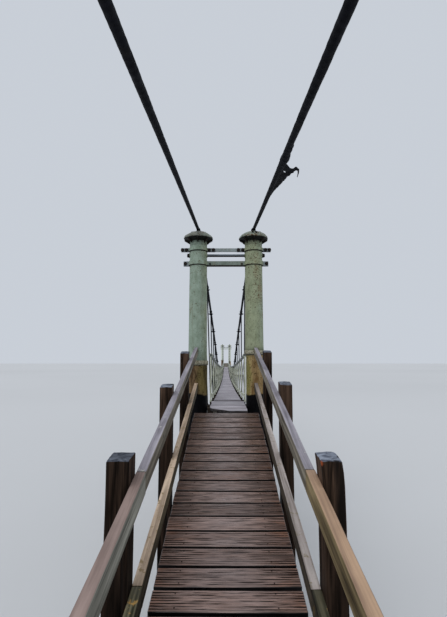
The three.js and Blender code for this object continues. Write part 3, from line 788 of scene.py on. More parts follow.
# Timber is given by its dark and light colour on top, then on its sides, and paint by its
# colour on the left and on the right of the bridge.
MATERIAL_MAKERS = {
    "ramp_board": ramp_board_material,
    "post": post_material,
    "column_base": column_base_material,
    "bolt": bolt_material,
    "rod": rod_material,
    "concrete": concrete_material,
    "cable": lambda: cable_material("black_cable_wrapping", real(60)),
    "hanger": lambda: cable_material("black_hanger_steel", real(400)),
    "deck_board": lambda: timber_material(
        "pale_deck_board", (0.05, 1, 1), ((0.24, 0.22, 0.245), (0.62, 0.585, 0.63)),
        ((0.02, 0.018, 0.018), (0.07, 0.06, 0.06)), cracks=0.3),
    "frame_timber": lambda: timber_material(
        "dark_frame_timber", (0.2, 0.05, 1), ((0.03, 0.024, 0.018), (0.10, 0.08, 0.06)),
        ((0.010, 0.007, 0.005), (0.06, 0.045, 0.033)), cracks=0.37, shine=0.08),
    "rail_grey": lambda: rail_material(
        "grey_rail_timber", ((0.19, 0.175, 0.20), (0.42, 0.395, 0.435)),
        ((0.045, 0.036, 0.025), (0.36, 0.32, 0.25)), growth=(0.50, 0.49, 0.43), growth_share=0.16,
        cracks=0.34, knot=((-RAIL_INNER, TOWER_Y - real(3510), real(1523)), (0.02, 0.015, 0.012))),
    "rail_pink": lambda: rail_material(
        "pink_rail_timber", ((0.19, 0.135, 0.115), (0.40, 0.30, 0.265)),
        ((0.07, 0.07, 0.054), (0.56, 0.55, 0.47)), softness=0.36, cracks=0.34),
    "rail_tan": lambda: rail_material(
        "tan_rail_timber", ((0.27, 0.175, 0.12), (0.56, 0.375, 0.245)),
        ((0.045, 0.03, 0.012), (0.42, 0.32, 0.165)), softness=0.36, cracks=0.34),
    "midrail_tan": lambda: rail_material(
        "lichened_midrail_timber", ((0.26, 0.19, 0.135), (0.68, 0.52, 0.38)),
        ((0.02, 0.016, 0.010), (0.16, 0.13, 0.08)), growth=(0.22, 0.155, 0.07), growth_share=0.36),
    "midrail_green": lambda: rail_material(
        "green_midrail_timber", ((0.024, 0.024, 0.013), (0.18, 0.16, 0.10)),
        ((0.012, 0.010, 0.006), (0.09, 0.08, 0.05)), growth=(0.46, 0.27, 0.08), growth_share=0.3,
        cracks=0.37),
    "midrail_grey": lambda: rail_material(
        "grey_midrail_timber", ((0.22, 0.185, 0.165), (0.60, 0.53, 0.49)),
        ((0.015, 0.012, 0.009), (0.11, 0.09, 0.065)), growth=(0.19, 0.155, 0.08), growth_share=0.28,
        cracks=0.34),
    # The column paint carries painted shade on the neck under the cap's flange
    "column_top": lambda: painted_material(
        "pale_green_paint", (0.30, 0.375, 0.30), (0.33, 0.365, 0.235), rust=0.9, grime=0.5,
        shade_heights=(COLUMN_HEAD + real(8), NECK_TOP + real(16))),
    # The cap's undersides get strong painted shade
    "cap": lambda: painted_material(
        "pale_green_cap_paint", (0.185, 0.195, 0.17), (0.27, 0.315, 0.265), rust=1.25, grime=1.0,
        below=0.04),
    "tie": lambda: painted_material(
        "grey_green_tie_paint", (0.29, 0.33, 0.35), (0.29, 0.33, 0.33), rust=0.4, grime=0.5, below=0.03),
    "box_tie": lambda: painted_material(
        "green_box_tie_paint", (0.20, 0.245, 0.225), (0.20, 0.24, 0.205), rust=0.7, grime=0.8, below=0.03),
    "parapet": lambda: painted_material(
        "cream_green_parapet_paint", (0.62, 0.66, 0.54), (0.68, 0.70, 0.56), rust=0.7, grime=0.8),
    # The braces are painted dark, with rust and dirt, and as painted shade among the lattice bars
    "brace": lambda: painted_material(
        "dark_brace_paint_and_shade", (0.10, 0.11, 0.085), (0.09, 0.10, 0.075), rust=0.9, grime=1.0),
    "top_rail": lambda: painted_material(
        "grey_rail_paint", (0.27, 0.29, 0.28), (0.27, 0.29, 0.30), rust=0.4, grime=0.6, below=0.7),
}


def paint(piece, *names):
    piece.data.materials.clear()
    for name in names:
        piece.data.materials.append(material(name))
    return piece


def settle(piece, nodes, place):
    """Moves a finished piece to its end of the bridge, where it stands for its nodes."""
    nodes = [nodes] if isinstance(nodes, str) else list(nodes)
    piece.data.transform(place)
    piece.name = f"{nodes[0]}_detail"
    piece.data.name = piece.name
    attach(piece, "root")
    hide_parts(*nodes)


def at_both_ends(piece, kind, hand=None):
    """Puts a piece at the near end, and a copy of it, turned round, at the far end."""
    twin = own_copy(piece)
    near_node = f"near_{kind}_{hand}" if hand else f"near_{kind}"
    far_node = f"far_{kind}_{OTHER_HAND[hand]}" if hand else f"far_{kind}"
    settle(piece, near_node, NEAR)
    settle(twin, far_node, FAR)


# Towers

def column_base(hand):
    """The rusted lower pipe with the collar at its head."""
    x = HANDS[hand] * COLUMN_X + BASE_SHIFT[hand]
    radius = BASE_RADIUS[hand]
    low = COLLAR_LEVEL[hand] - COLLAR_HEIGHT / 2
    high = COLLAR_LEVEL[hand] + COLLAR_HEIGHT / 2
    coated_radius = radius + real(3)
    round_off = real(6)
    profile = risers((coated_radius, 0), (coated_radius, COATING_TOP - real(30)), 12)
    profile += risers((radius, COATING_TOP + real(10)), (radius, low - real(12)), 4)
    profile += [
        (radius, low - real(7)),
        (radius + round_off, low),
        (COLLAR_RADIUS - round_off / 2, low),
        (COLLAR_RADIUS, low + round_off),
        (COLLAR_RADIUS, high - round_off),
        (COLLAR_RADIUS - round_off, high),
        (COLUMN_FOOT_RADIUS - round_off, high),
    ]
    piece = revolve(profile, 40, (x, 0))
    store(piece, "collar", [float(vertex.co.z > low - real(9.5)) for vertex in piece.data.vertices])
    weather(piece, real(2.5), real(160), seed=1 + HANDS[hand])
    reshape(piece, lambda co: Vector((co.x, co.y, co.z if co.z > real(1) else 0)))
    return paint(smooth(piece, 50), "column_base")


def column_top(hand):
    """The painted column above the collar, with a boss on each side where the rod goes through."""
    x = HANDS[hand] * COLUMN_X
    foot = COLLAR_LEVEL[hand] + COLLAR_HEIGHT / 2 + GAP
    profile = risers((column_radius(foot), foot), (column_radius(COLUMN_HEAD), COLUMN_HEAD), 18)
    profile.insert(1, (column_radius(foot) + real(2.5), foot + real(6)))
    column = weather(revolve(profile, 48, (x, 0)), real(1.6), real(240), seed=4 + HANDS[hand])
    seat = column_radius(ROD_HEIGHT) - real(4)
    bosses = stamped(revolve([(real(38), 0), (real(38), real(7)), (real(27), real(10))], 20),
                     [facing((x + side * seat, 0, ROD_HEIGHT), (side, 0, 0)) for side in HANDS.values()])
    return paint(smooth(joined([column, *bosses]), 40), "column_top")


def cap_gusset():
    """A thin plate that props the flange, standing out along X, with its lower corner cut off."""
    foot = real(3768)
    corner = real(3816)
    half = real(6)
    edge = COLUMN_HEAD_RADIUS + real(2)
    piece = block((COLUMN_HEAD_RADIUS - real(8), -half, foot), (GUSSET_REACH, half, FLANGE_BOTTOM + real(2)))
    cut_across(piece, 2, 8)

    def rule(co):
        up = held((co.z - foot) / (corner - foot))
        return Vector((min(co.x, edge + (GUSSET_REACH - edge) * up), co.y, co.z))
    return chamfer(reshape(piece, rule), real(2))


def cable_line(side, y):
    return cable_point(side, y).z if y > 0 else backstay_point(side, y).z


# Radius and height of the cap's top, from the flange's edge to the crown
DOME = [(real(radius), real(height)) for radius, height in (
    (222, 3848), (222, 3856), (217, 3868), (207, 3880), (190, 3896), (168, 3913), (142, 3930),
    (112, 3945), (84, 3955), (67, 3958))]
CROWN_HEIGHT = DOME[-1][1]


def dome_height(out):
    for (wide, low), (narrow, high) in zip(DOME, DOME[1:]):
        if narrow <= out < wide:
            return low + (high - low) * (wide - out) / (wide - narrow)
    return CROWN_HEIGHT


def cap_body(side):
    """The neck, the cone under the flange and the lumpy dome on it."""
    neck = COLUMN_HEAD_RADIUS
    neck_foot = COLUMN_HEAD + GAP
    neck_head = NECK_TOP + real(15)
    shaft = revolve([
        (neck - real(1), neck_foot),
        (neck + real(1), COLUMN_HEAD + real(5)),
        *risers((neck + real(2), NECK_TOP), (neck + real(2), neck_head), 2),
        (neck - real(12), neck_head),
        (neck - real(12), neck_foot),
    ], 64, closed=True)
    body = revolve([
        (neck - real(6), NECK_TOP + real(11)),
        (neck + real(8), NECK_TOP + real(20)),
        (real(160), NECK_TOP + real(34)),
        (real(188), NECK_TOP + real(42)),
        (FLANGE_RADIUS - real(12), FLANGE_BOTTOM - real(3)),
        (FLANGE_RADIUS - real(4), FLANGE_BOTTOM + real(1)),
        *DOME,
        (real(45), CROWN_HEIGHT),
        (real(20), CROWN_HEIGHT),
    ], 96)

    def rule(co):
        angle = math.atan2(co.y, co.x)
        outer = min(math.hypot(co.x, co.y) / real(180), 1) ** 2
        rim = held((co.z - FLANGE_BOTTOM + real(8)) / real(20)) * outer
        coarse, fine = (noise.noise(Vector((math.cos(angle) * size, math.sin(angle) * size,
                                            co.z / real(60) + 3 * side))) for size in (5, 14))
        lump = coarse + 0.6 * fine
        moved = swollen(co, 1 + rim * (0.035 * lump - 0.012))
        moved.z += rim * real(8) * lump
        return moved
    return joined([paint(shaft, "column_top"), paint(reshape(body, rule), "cap")])


def saddle(side):
    """A block on the crown, hollowed along the cable that lies in it."""
    half_width, half_length = real(31 + 3 * side), real(52)
    piece = block((-half_width, -half_length, CROWN_HEIGHT - real(22)), (half_width, half_length, SADDLE_TOP))
    cut_across(piece, 0, 11)
    cut_across(piece, 1, 7)
    groove = CABLE_RADIUS + real(1.5)

    def rule(co):
        if co.z > CROWN_HEIGHT and abs(co.x) < groove:
            floor = cable_line(side, co.y) - math.sqrt(groove ** 2 - co.x ** 2)
            return Vector((co.x, co.y, min(co.z, floor)))
        return co
    return paint(chamfer(reshape(piece, rule), real(3)), "cable")


# Where old bolts stand out of each cap's dome, as X and Y from the column's axis
CAP_BOLTS = {"left": [(-95, 0), (96, 20)], "right": [(98, 0), (-20, -178), (30, -178)]}
GUSSET_COUNT = 8


def column_cap(hand):
    side = HANDS[hand]
    turns = [Matrix.Rotation(2 * math.pi * i / GUSSET_COUNT, 4, "Z") for i in range(GUSSET_COUNT)]
    # The gussets take the dark bolt finish: painted shade under the flange
    whole = joined([cap_body(side), saddle(side), *stamped(paint(cap_gusset(), "bolt"), turns)])
    smooth(whole, 45)
    places = []
    for x, y in CAP_BOLTS[hand]:
        foot = Vector((real(x), real(y), 0))
        leaning = (0.4 * foot.x, 0.6 * foot.y, real(120))
        foot.z = dome_height(foot.length) - real(6)
        places.append(facing(foot, leaning))
    piece = joined([whole, fixings(places, 26, 16, 36, 4)])
    piece.data.transform(Matrix.Translation((side * COLUMN_X, 0, 0)))
    return piece


class BRIDGE_OT_add_columns(bpy.types.Operator):
    """Models the rusted column bases, the painted columns and the collars between them"""
    bl_idname = "footbridge.add_columns"
    bl_label = "Columns"

    def execute(self, context):
        for hand in HANDS:
            at_both_ends(column_base(hand), "column_base", hand)
            at_both_ends(column_top(hand), "column_top", hand)
        return {"FINISHED"}


class BRIDGE_OT_add_caps(bpy.types.Operator):
    """Models the domed caps with their flanges, gussets, saddles and bolts"""
    bl_idname = "footbridge.add_caps"
    bl_label = "Column caps"

    def execute(self, context):
        for hand in HANDS:
            at_both_ends(column_cap(hand), "column_cap", hand)
        return {"FINISHED"}


# Ties between the columns

def clamp_ring(side, levels):
    """A strap round one column, painted like the column, with a dark ring beneath it: painted shadow under
    the strap, with some rust.
    """
    low, high = levels
    inner = column_radius(low) + real(1)
    outer = column_radius(low) + real(15)
    edge = real(4)
    strap = [(inner, low), (outer - edge, low), (outer, low + edge),
             (outer, high - edge), (outer - edge, high), (inner, high)]
    # A dark ring under the strap: painted shadow, with some rust
    shade_ring_foot = low - real(9)
    seam = [(inner, shade_ring_foot), (inner + real(6), shade_ring_foot), (inner + real(6), low), (inner, low)]
    return [paint(revolve(profile, 44, (side * COLUMN_X, 0), closed=True), finish)
            for profile, finish in ((strap, "column_top"), (seam, "bolt"))]


def ear_plates(side, start, end, levels):
    """The front and back plates of a clamp ear, from start to end across the bridge."""
    low, high = levels
    inner, outer = TIE_EAR
    return [paint(block((side * start, face * inner, low), (side * end, face * outer, high), real(3)), "tie")
            for face in (-1, 1)]


def through_bolts(places, reach):
    """A bolt head on the front face and a nut on the back face at each (x, z) place."""
    heads = fixings([facing((x, -reach, z), (0, -1, 0)) for x, z in places], 42, 20, 54)
    nuts = fixings([facing((x, reach, z), (0, 1, 0)) for x, z in places], 42, 24, 54, 16)
    return joined([heads, nuts])


def upper_tie():
    """A flat bar between the columns, clamped to each by a strap with bolted ears."""
    height = sum(UPPER_TIE) / 2
    bar_half, face = TIE_EAR
    levels = low, high = UPPER_TIE[0] - real(3), UPPER_TIE[1] + real(1)
    end = 2 * COLUMN_X - EAR_START + real(3)
    parts = [paint(block((-end, -bar_half, low), (end, bar_half, high), real(2)), "tie")]
    places = []
    for side in HANDS.values():
        parts += clamp_ring(side, UPPER_TIE)
        parts += ear_plates(side, EAR_START, real(678), levels)
        parts += ear_plates(side, real(164), 2 * COLUMN_X - EAR_START, levels)
        places += [(side * real(x), height) for x in (657, 598, 254, 189)]
    tie = smooth(weather(joined(parts), real(1), real(90), seed=3))
    return joined([tie, through_bolts(places, face)])


def lower_tie():
    """Straps round the columns, with a deep box section between them."""
    middle_z = sum(LOWER_TIE) / 2
    half = real(35)
    reach = real(40)
    lip = real(1)
    end = COLUMN_X - column_radius(middle_z) - real(2)
    low, high = middle_z - half, middle_z + half
    parts = [
        paint(block((-end, -reach, low + real(4)), (end, reach, high), real(2)), "box_tie"),
        # A dark strip along the box's foot: painted shade under the box
        paint(block((-end, -reach - lip, low), (end, reach + lip, low + real(9)), lip), "bolt"),
    ]
    for side in HANDS.values():
        parts += clamp_ring(side, (LOWER_TIE[0] + real(7), LOWER_TIE[1]))
        parts += ear_plates(side, EAR_START, real(640), LOWER_TIE)
    tie = smooth(weather(joined(parts), real(1), real(90), seed=6))
    places = [(side * real(612), middle_z) for side in HANDS.values()]
    spots = [facing((side * real(240), -reach, middle_z - real(8)), (0, -1, 0)) for side in HANDS.values()]
    return joined([tie, through_bolts(places, TIE_EAR[1]), fixings(spots, 20, 9, 28)])


def tie_rod():
    """A rod through both columns, threaded where its nuts sit."""
    length = real(1176)
    threaded = real(100)
    pitch = real(9)

    def thread(co):
        from_end = min(co.z, length - co.z)
        ridge = math.sin(2 * math.pi * co.z / pitch) if from_end < threaded else 0
        return swollen(co, 1 + 0.03 * ridge)
    rod = reshape(tube_blank(ROD_RADIUS, length, 14, 60), thread)
    rod.data.transform(facing((-length / 2, 0, ROD_HEIGHT), (1, 0, 0)))
    seat = COLUMN_X + column_radius(ROD_HEIGHT) + real(5)
    nuts = fixings([facing((side * seat, 0, ROD_HEIGHT), (side, 0, 0)) for side in HANDS.values()],
                   55, 26, 74)
    return joined([smooth(paint(rod, "rod"), 40), nuts])


class BRIDGE_OT_add_ties(bpy.types.Operator):
    """Models the two ties with their clamps and bolts, and the rod between them"""
    bl_idname = "footbridge.add_ties"
    bl_label = "Ties and rods"

    def execute(self, context):
        at_both_ends(upper_tie(), "upper_tie")
        at_both_ends(lower_tie(), "lower_tie")
        at_both_ends(tie_rod(), "tie_rod")
        return {"FINISHED"}


# Cables

def wrapped_cable(length, steps, sides=14):
    """A cable wound with tape, each turn lapping over the one before it."""
    def rule(co):
        angle = math.atan2(co.y, co.x) / (2 * math.pi)
        turn = (co.z / CABLE_LAP - angle) % 1
        lump = 0.05 * noise.noise(Vector((co.x * 30, co.y * 30, co.z / real(70))))
        return swollen(co, 1 + 0.06 * (1 - turn) + lump)
    return reshape(tube_blank(CABLE_RADIUS, length, sides, steps), rule)


def reach_along(outline, t):
    """The point at share t of an open outline, with an equal share for each of its stretches."""
    place = t * (len(outline) - 1)
    index = min(int(place), len(outline) - 2)
    return outline[index].lerp(outline[index + 1], place - index)


# Outlines of the loose sheet on the right backstay. Each point is a distance from the tower
# and a distance out from the cable, in real millimetres.
SHEET_CABLE_EDGE = [(2150, 8), (2420, 10), (2690, 12), (2960, 12), (3240, 10)]
SHEET_OUTER_EDGE = [(2150, 24), (2399, 37), (2647, 66), (2822, 83), (2996, 102), (3096, 127), (3132, 149)]
SHEET_RAGGED_END = [(3240, 10), (3224, 43), (3144, 76), (3137, 97), (3191, 121), (3132, 149)]
SHEET_HOLE = (3031, 56)


def torn_sheet(side):
    """A loose sheet of wrapping that widens away from the tower, with a ragged hooked end."""
    inner, outer, end, (hole,) = (
        [Vector((real(out), real(-away))) for away, out in line]
        for line in (SHEET_CABLE_EDGE, SHEET_OUTER_EDGE, SHEET_RAGGED_END, [SHEET_HOLE]))
    clear_selection()
    bpy.ops.mesh.primitive_grid_add(x_subdivisions=14, y_subdivisions=30, size=1)
    sheet = bpy.context.object
    rag = real(7)

    def rule(co):
        u, v = co.x + 0.5, co.y + 0.5
        across_sheet = reach_along(inner, v).lerp(reach_along(outer, v), u)
        straight_end = inner[-1].lerp(outer[-1], u)
        flat = across_sheet + (reach_along(end, u) - straight_end) * v
        loose = flat.x / real(150)
        ripple = noise.noise(Vector((flat.x / real(45), flat.y / real(60), 4)))
        ragged = noise.noise(Vector((flat.x / real(14), flat.y / real(14), 9))) * loose
        droop = -real(20) * loose ** 2 + real(14) * ripple * loose
        point = backstay_point(side, flat.y)
        return point + Vector((side * (flat.x + rag * ragged), rag * ragged, droop))
    reshape(sheet, rule)

    def in_hole(face):
        centre = face.calc_center_median()
        return (Vector((abs(centre.x) - COLUMN_X, centre.y)) - hole).length < real(13)
    edit(sheet, "FACE", in_hole)
    bpy.ops.mesh.delete(type="FACE")
    done_editing()
    apply_modifier(sheet, "SOLIDIFY", thickness=real(5), offset=0)
    return sheet


def torn_hook(side):
    """The curled tip of the loose sheet, which tapers and droops."""
    length = real(84)
    piece = block((-real(9), 0, -real(4)), (real(9), length, real(4)), real(1.5))
    cut_across(piece, 1, 7)

    def rule(co):
        t = co.y / length
        slim = 1 - 0.75 * t
        return Vector((co.x * slim + real(10) * math.sin(2.4 * t), co.y, co.z * slim - real(30) * t ** 2))
    reshape(piece, rule)
    root = backstay_point(side, real(-3140)) + Vector((side * real(140), 0, real(-12)))
    piece.data.transform(Matrix.Translation(root))
    return piece


def torn_wrapping(side):
    """Where the tape has come away: a swollen sleeve, a loose sheet and its hooked tip."""
    length = real(640)
    start = real(-3000)

    def swell(co):
        bulge = 1.06 + 0.42 * math.exp(-((co.z / length - 0.55) / 0.17) ** 2)
        lump = noise.noise(Vector((co.x * 55, co.y * 55, co.z / real(45))))
        return swollen(co, bulge * (1 + 0.16 * lump))
    sleeve = reshape(tube_blank(CABLE_RADIUS, length, 18, 40), swell)
    bend_along(sleeve, lambda z: backstay_point(side, start - z) + Vector((side * real(5), 0, 0)))
    torn = outward(joined([sleeve, torn_sheet(side), torn_hook(side)]))
    return paint(smooth(torn, 60), "cable")


def backstay(side):
    length = BACKSTAY_END - GAP / 2
    piece = wrapped_cable(length, int(length / real(30)))
    bend_along(piece, lambda z: backstay_point(side, -GAP / 2 - z))
    return paint(smooth(piece, 60), "cable")


class BRIDGE_OT_add_backstays(bpy.types.Operator):
    """Models the wrapped cables that run down from the towers, one with its wrapping torn"""
    bl_idname = "footbridge.add_backstays"
    bl_label = "Backstays"

    def execute(self, context):
        for hand, side in HANDS.items():
            at_both_ends(backstay(side), "backstay", hand)
        near_right = bpy.data.objects["near_backstay_right_detail"]
        tear = torn_wrapping(HANDS["right"])
        tear.data.transform(NEAR)
        whole = joined([near_right, tear])
        if whole.name != "near_backstay_right_detail":
            raise RuntimeError("the torn wrapping has not been joined to its cable")
        return {"FINISHED"}


def hanger_clamp():
    """A band round the main cable with a lug and bolt below it, on the origin along Y."""
    inner = CABLE_RADIUS * 1.02
    outer = inner + real(8)
    half = real(36)
    edge = real(2)
    profile = [(inner, -half), (outer - edge, -half), (outer, -half + edge),
               (outer, half - edge), (outer - edge, half), (inner, half)]
    band = revolve(profile, 16, closed=True)
    band.data.transform(Matrix.Rotation(-math.pi / 2, 4, "X"))
    lugs = [block((side * real(12), real(-26), real(-74)), (side * real(20), real(26), -inner), real(2))
            for side in (-1, 1)]
    bolts = stamped(hex_bolt(28, 16, 38, 14),
                    [facing((side * real(20), 0, real(-54)), (side, 0, 0)) for side in (-1, 1)])
    return joined([band, *lugs, *bolts])


def hanger_rod():
    """A rod of unit height, a little slimmer towards its foot."""
    return reshape(tube_blank(real(12), 1.0, 8, 6), lambda co: swollen(co, 0.8 + 0.2 * co.z))


def transom_top(s):
    edge = TRANSOM_WIDTH / 2
    return min(deck_top(s - edge), deck_top(s + edge)) - DECK_THICKNESS - GAP


def main_cable(side):
    """One sagging cable, and at each cross timber a clamp, a hanger rod and its two nuts."""
    length = SPAN - GAP
    cable = wrapped_cable(length, int(length / real(34)), sides=12)
    bend_along(cable, lambda z: cable_point(side, GAP / 2 + z))
    paint(smooth(cable, 60), "cable")
    clamp_places, rod_places, nut_places = [], [], []
    for s in panel_points():
        top = cable_point(side, s)
        ahead = cable_point(side, s + real(20)) - cable_point(side, s - real(20))
        tilt = math.atan2(ahead.z, ahead.y)
        clamp_places.append(Matrix.Translation(top) @ Matrix.Rotation(tilt, 4, "X"))
        under = transom_top(s) - TRANSOM_DEPTH
        foot = swayed(Vector((side * CABLE_MID_X, s, under - real(20))))
        rise = top - foot - Vector((0, 0, real(40)))
        rod_places.append(facing(foot, rise) @ Matrix.Diagonal((1, 1, rise.length, 1)))
        nut_places += [facing((foot.x, s, under), (0, 0, -1)), facing((foot.x, s, transom_top(s)), (0, 0, 1))]
    hangers = joined(stamped(hanger_rod(), rod_places) + stamped(hanger_clamp(), clamp_places)
                     + stamped(hex_bolt(26, 14, 40), nut_places))
    return joined([cable, paint(smooth(hangers, 40), "hanger")])


class BRIDGE_OT_add_main_cables(bpy.types.Operator):
    """Models the two sagging cables with a clamp and hanger at each cross timber"""
    bl_idname = "footbridge.add_main_cables"
    bl_label = "Main cables"

    def execute(self, context):
        for hand, side in HANDS.items():
            settle(main_cable(side), f"main_cable_{hand}", NEAR)
        return {"FINISHED"}


# Parapets

def flat_bar(start, end, width, x):
    """A flat bar in a plane across X, between two (y, z) points."""
    run = Vector((0, end[0] - start[0], end[1] - start[1]))
    bar = block((-FLAT_THICKNESS / 2, 0, -width / 2), (FLAT_THICKNESS / 2, run.length, width / 2), real(1.2))
    tilt = math.atan2(run.z, run.y)
    bar.data.transform(Matrix.Translation((x, *start)) @ Matrix.Rotation(tilt, 4, "X"))
    return bar


def parapet_bay(side):
    """The braces and bottom rail between two stanchions, as if the deck were level."""
    left, right = STANCHION_HALF, PANEL - STANCHION_HALF
    low, high = real(120), PARAPET_HEIGHT - real(13)
    x = side * (PARAPET_X + real(7))
    outer = side * real(4)
    overlap = real(14)
    braces = [flat_bar((left - overlap, low), (right + overlap, high), real(38), x + outer),
              flat_bar((left - overlap, high), (right + overlap, low), real(38), x - outer)]
    rail_height = real(98)
    ledge = block((x - outer, 0, real(75)), (x + side * real(14), PANEL, real(81)), real(1))
    rivet = revolve([(real(14), 0), (real(14), real(3)), (real(10), real(8)), (real(4), real(10))], 10)
    spots = [(PANEL / 2, (low + high) / 2),
             *((y, z) for y in (left, right) for z in (low + real(12), high - real(12)))]
    rivets = stamped(rivet, [facing((x + face * real(7), y, z), (face, 0, 0))
                             for y, z in spots for face in (-1, 1)])
    rail = flat_bar((0, rail_height), (PANEL, rail_height), real(45), x - outer)
    return joined([paint(joined(braces), "brace"), paint(joined([rail, ledge, *rivets]), "parapet")])


def stanchion(side):
    """An angle-section upright that is bolted to its cross timber by a dark foot plate."""
    foot = -DECK_THICKNESS
    sill = real(8)

    def plate(start, end, low, high, width, back=1):
        return block((side * (PARAPET_X + start), -width, low),
                     (side * (PARAPET_X + end), width * back, high), real(1.5))
    nut = hex_bolt(28, 16, 40, 10)
    nut.data.transform(Matrix.Translation((side * (PARAPET_X + real(14)), 0, sill)))
    painted = [plate(0, real(7), sill, PARAPET_HEIGHT - real(8), STANCHION_HALF),
               plate(0, real(20), sill, PARAPET_HEIGHT - real(14), STANCHION_HALF, -0.7), nut]
    dark = [plate(0, real(12), foot, sill, STANCHION_HALF * 0.9),
            plate(-real(2), real(34), foot, foot + real(8), real(28))]
    return joined([paint(joined(painted), "parapet"), paint(joined(dark), "bolt")])


def top_rail(x, start, length):
    """A long tube with open ends, and a painted ring round each end."""
    rail = tube_blank(TOP_RAIL_RADIUS, length, 14, PANEL_COUNT * 2)
    edit(rail, "FACE", lambda face: abs(face.normal.z) > 0.9)
    bpy.ops.mesh.inset(thickness=real(12), depth=0)
    done_editing()
    for end, inward in ((0, 1), (length, -1)):
        edit(rail, "FACE", lambda face: abs(face.calc_center_median().z - end) < real(1)
             and len(face.verts) > 4)
        push_out(inward * real(12))
        done_editing()

    def rail_point(z):
        return Vector((x, start + z, deck_top(start + z) + PARAPET_HEIGHT))
    bend_along(rail, rail_point)
    low, high, ring_length = TOP_RAIL_RADIUS - real(2), real(33), real(22)
    ring = revolve([(low, 0), (high, 0), (high, ring_length), (low, ring_length)], 20, closed=True)
    lying = Matrix.Rotation(-math.pi / 2, 4, "X")
    ends = (real(1), length - ring_length - real(1))
    rings = stamped(ring, [Matrix.Translation(rail_point(end)) @ lying for end in ends])
    return [paint(smooth(rail, 40), "top_rail"), paint(smooth(joined(rings), 40), "parapet")]


def parapet(side):
    stations = panel_points()
    bays = stamped(parapet_bay(side), [Matrix.Translation((0, s, 0)) for s in stations[:-1]])
    uprights = stamped(stanchion(side), [Matrix.Translation((0, s, 0)) for s in stations])
    lattice = drape(joined(bays + uprights), deck_top)
    smooth(weather(lattice, real(2), real(400), seed=side))
    start = stations[0] - STANCHION_HALF
    rail = top_rail(side * (PARAPET_X + real(7)), start, SPAN - 2 * start)
    return reshape(joined([lattice, *rail]), swayed)


class BRIDGE_OT_add_parapets(bpy.types.Operator):
    """Models the braced parapets with their stanchions, flats, rivets and top rails"""
    bl_idname = "footbridge.add_parapets"
    bl_label = "Parapets"

    def execute(self, context):
        for hand, side in HANDS.items():
            settle(parapet(side), f"parapet_{hand}", NEAR)
        return {"FINISHED"}


# Hanging deck

def cut_apron(co):
    """The first boards are longer than the rest, and their left ends are cut off at a slant."""
    if co.y > 0:
        widening = (real(700), real(1150))
        share = held((co.y - widening[0]) / (widening[1] - widening[0])) if co.y < widening[1] else 0
        return Vector((co.x * (1 + real(32) * share / DECK_HALF_WIDTH), co.y, co.z))
    run = -co.y * 0.74
    left = -DECK_HALF_WIDTH + run * 0.07 + max(0, run - real(342)) * 0.75
    right = DECK_HALF_WIDTH - run * 0.02
    share = (co.x + DECK_HALF_WIDTH) / (2 * DECK_HALF_WIDTH)
    return Vector((left + (right - left) * share, -run, co.z))


def stretch_ends(place, gap=0):
    """Where a stretch of the hanging deck starts and ends."""
    first, last = JOINT_PANELS[place]
    return (-DECK_OVERHANG if first is None else first * PANEL + gap,
            SPAN + DECK_OVERHANG if last is None else last * PANEL - gap)


def deck_stretch(place):
    """The boards of one stretch, each a little out of line. The boards at the towers are
    longer and lie a little lower, and one joint in each bay is wide."""
    start, end = stretch_ends(place)
    chance = random.Random(f"deck {place}")
    joint = real(2)
    half = (DECK_BOARD_PITCH - joint) / 2
    master = block((-DECK_HALF_WIDTH, -half, -DECK_THICKNESS), (DECK_HALF_WIDTH, half, 0), real(3),
                   cuts=((0, 7), (1, 1)))
    boards = []
    count = round((SPAN + 2 * DECK_OVERHANG) / DECK_BOARD_PITCH)
    pitch = (SPAN + 2 * DECK_OVERHANG) / count
    for index in range(count):
        s = -DECK_OVERHANG + (index + 0.5) * pitch
        if not start <= s < end:
            continue
        board = own_copy(master)
        wide_joint = WIDE_JOINT if index % DECK_BAY_BOARDS == WIDE_JOINT_BOARD else 0
        squeeze = (pitch - real(5) - wide_joint) / (DECK_BOARD_PITCH - joint)
        lift = chance.uniform(-1, 1) * real(0.75)
        at_tower = min(s, SPAN - s) < LONG_BOARDS_END
        height = lift - (LONG_BOARDS_DROP if at_tower else 0)
        board.data.transform(Matrix.Translation((chance.uniform(-1, 1) * real(5), s + wide_joint / 2, height))
                             @ Matrix.Rotation(chance.uniform(-1, 1) * 0.002, 4, "Z")
                             @ Matrix.Diagonal((1 if at_tower else 0.92, squeeze, 1, 1)))
        boards.append(tint(board, chance.uniform(-0.8, 0.8)))
    bpy.data.objects.remove(master)
    deck = weather(joined(boards), real(1.6), real(120), seed=len(boards))
    drape(deck, lambda s: deck_top(s) - real(0.8))
    reshape(deck, lambda co: swayed(cut_apron(co)))
    return paint(smooth(deck), "deck_board")


class BRIDGE_OT_add_hanging_deck(bpy.types.Operator):
    """Models the boards of the hanging deck, one by one, in its three stretches"""
    bl_idname = "footbridge.add_hanging_deck"
    bl_label = "Hanging deck"

    def execute(self, context):
        for place in JOINT_PANELS:
            settle(deck_stretch(place), f"suspended_deck_{place}", NEAR)
        return {"FINISHED"}


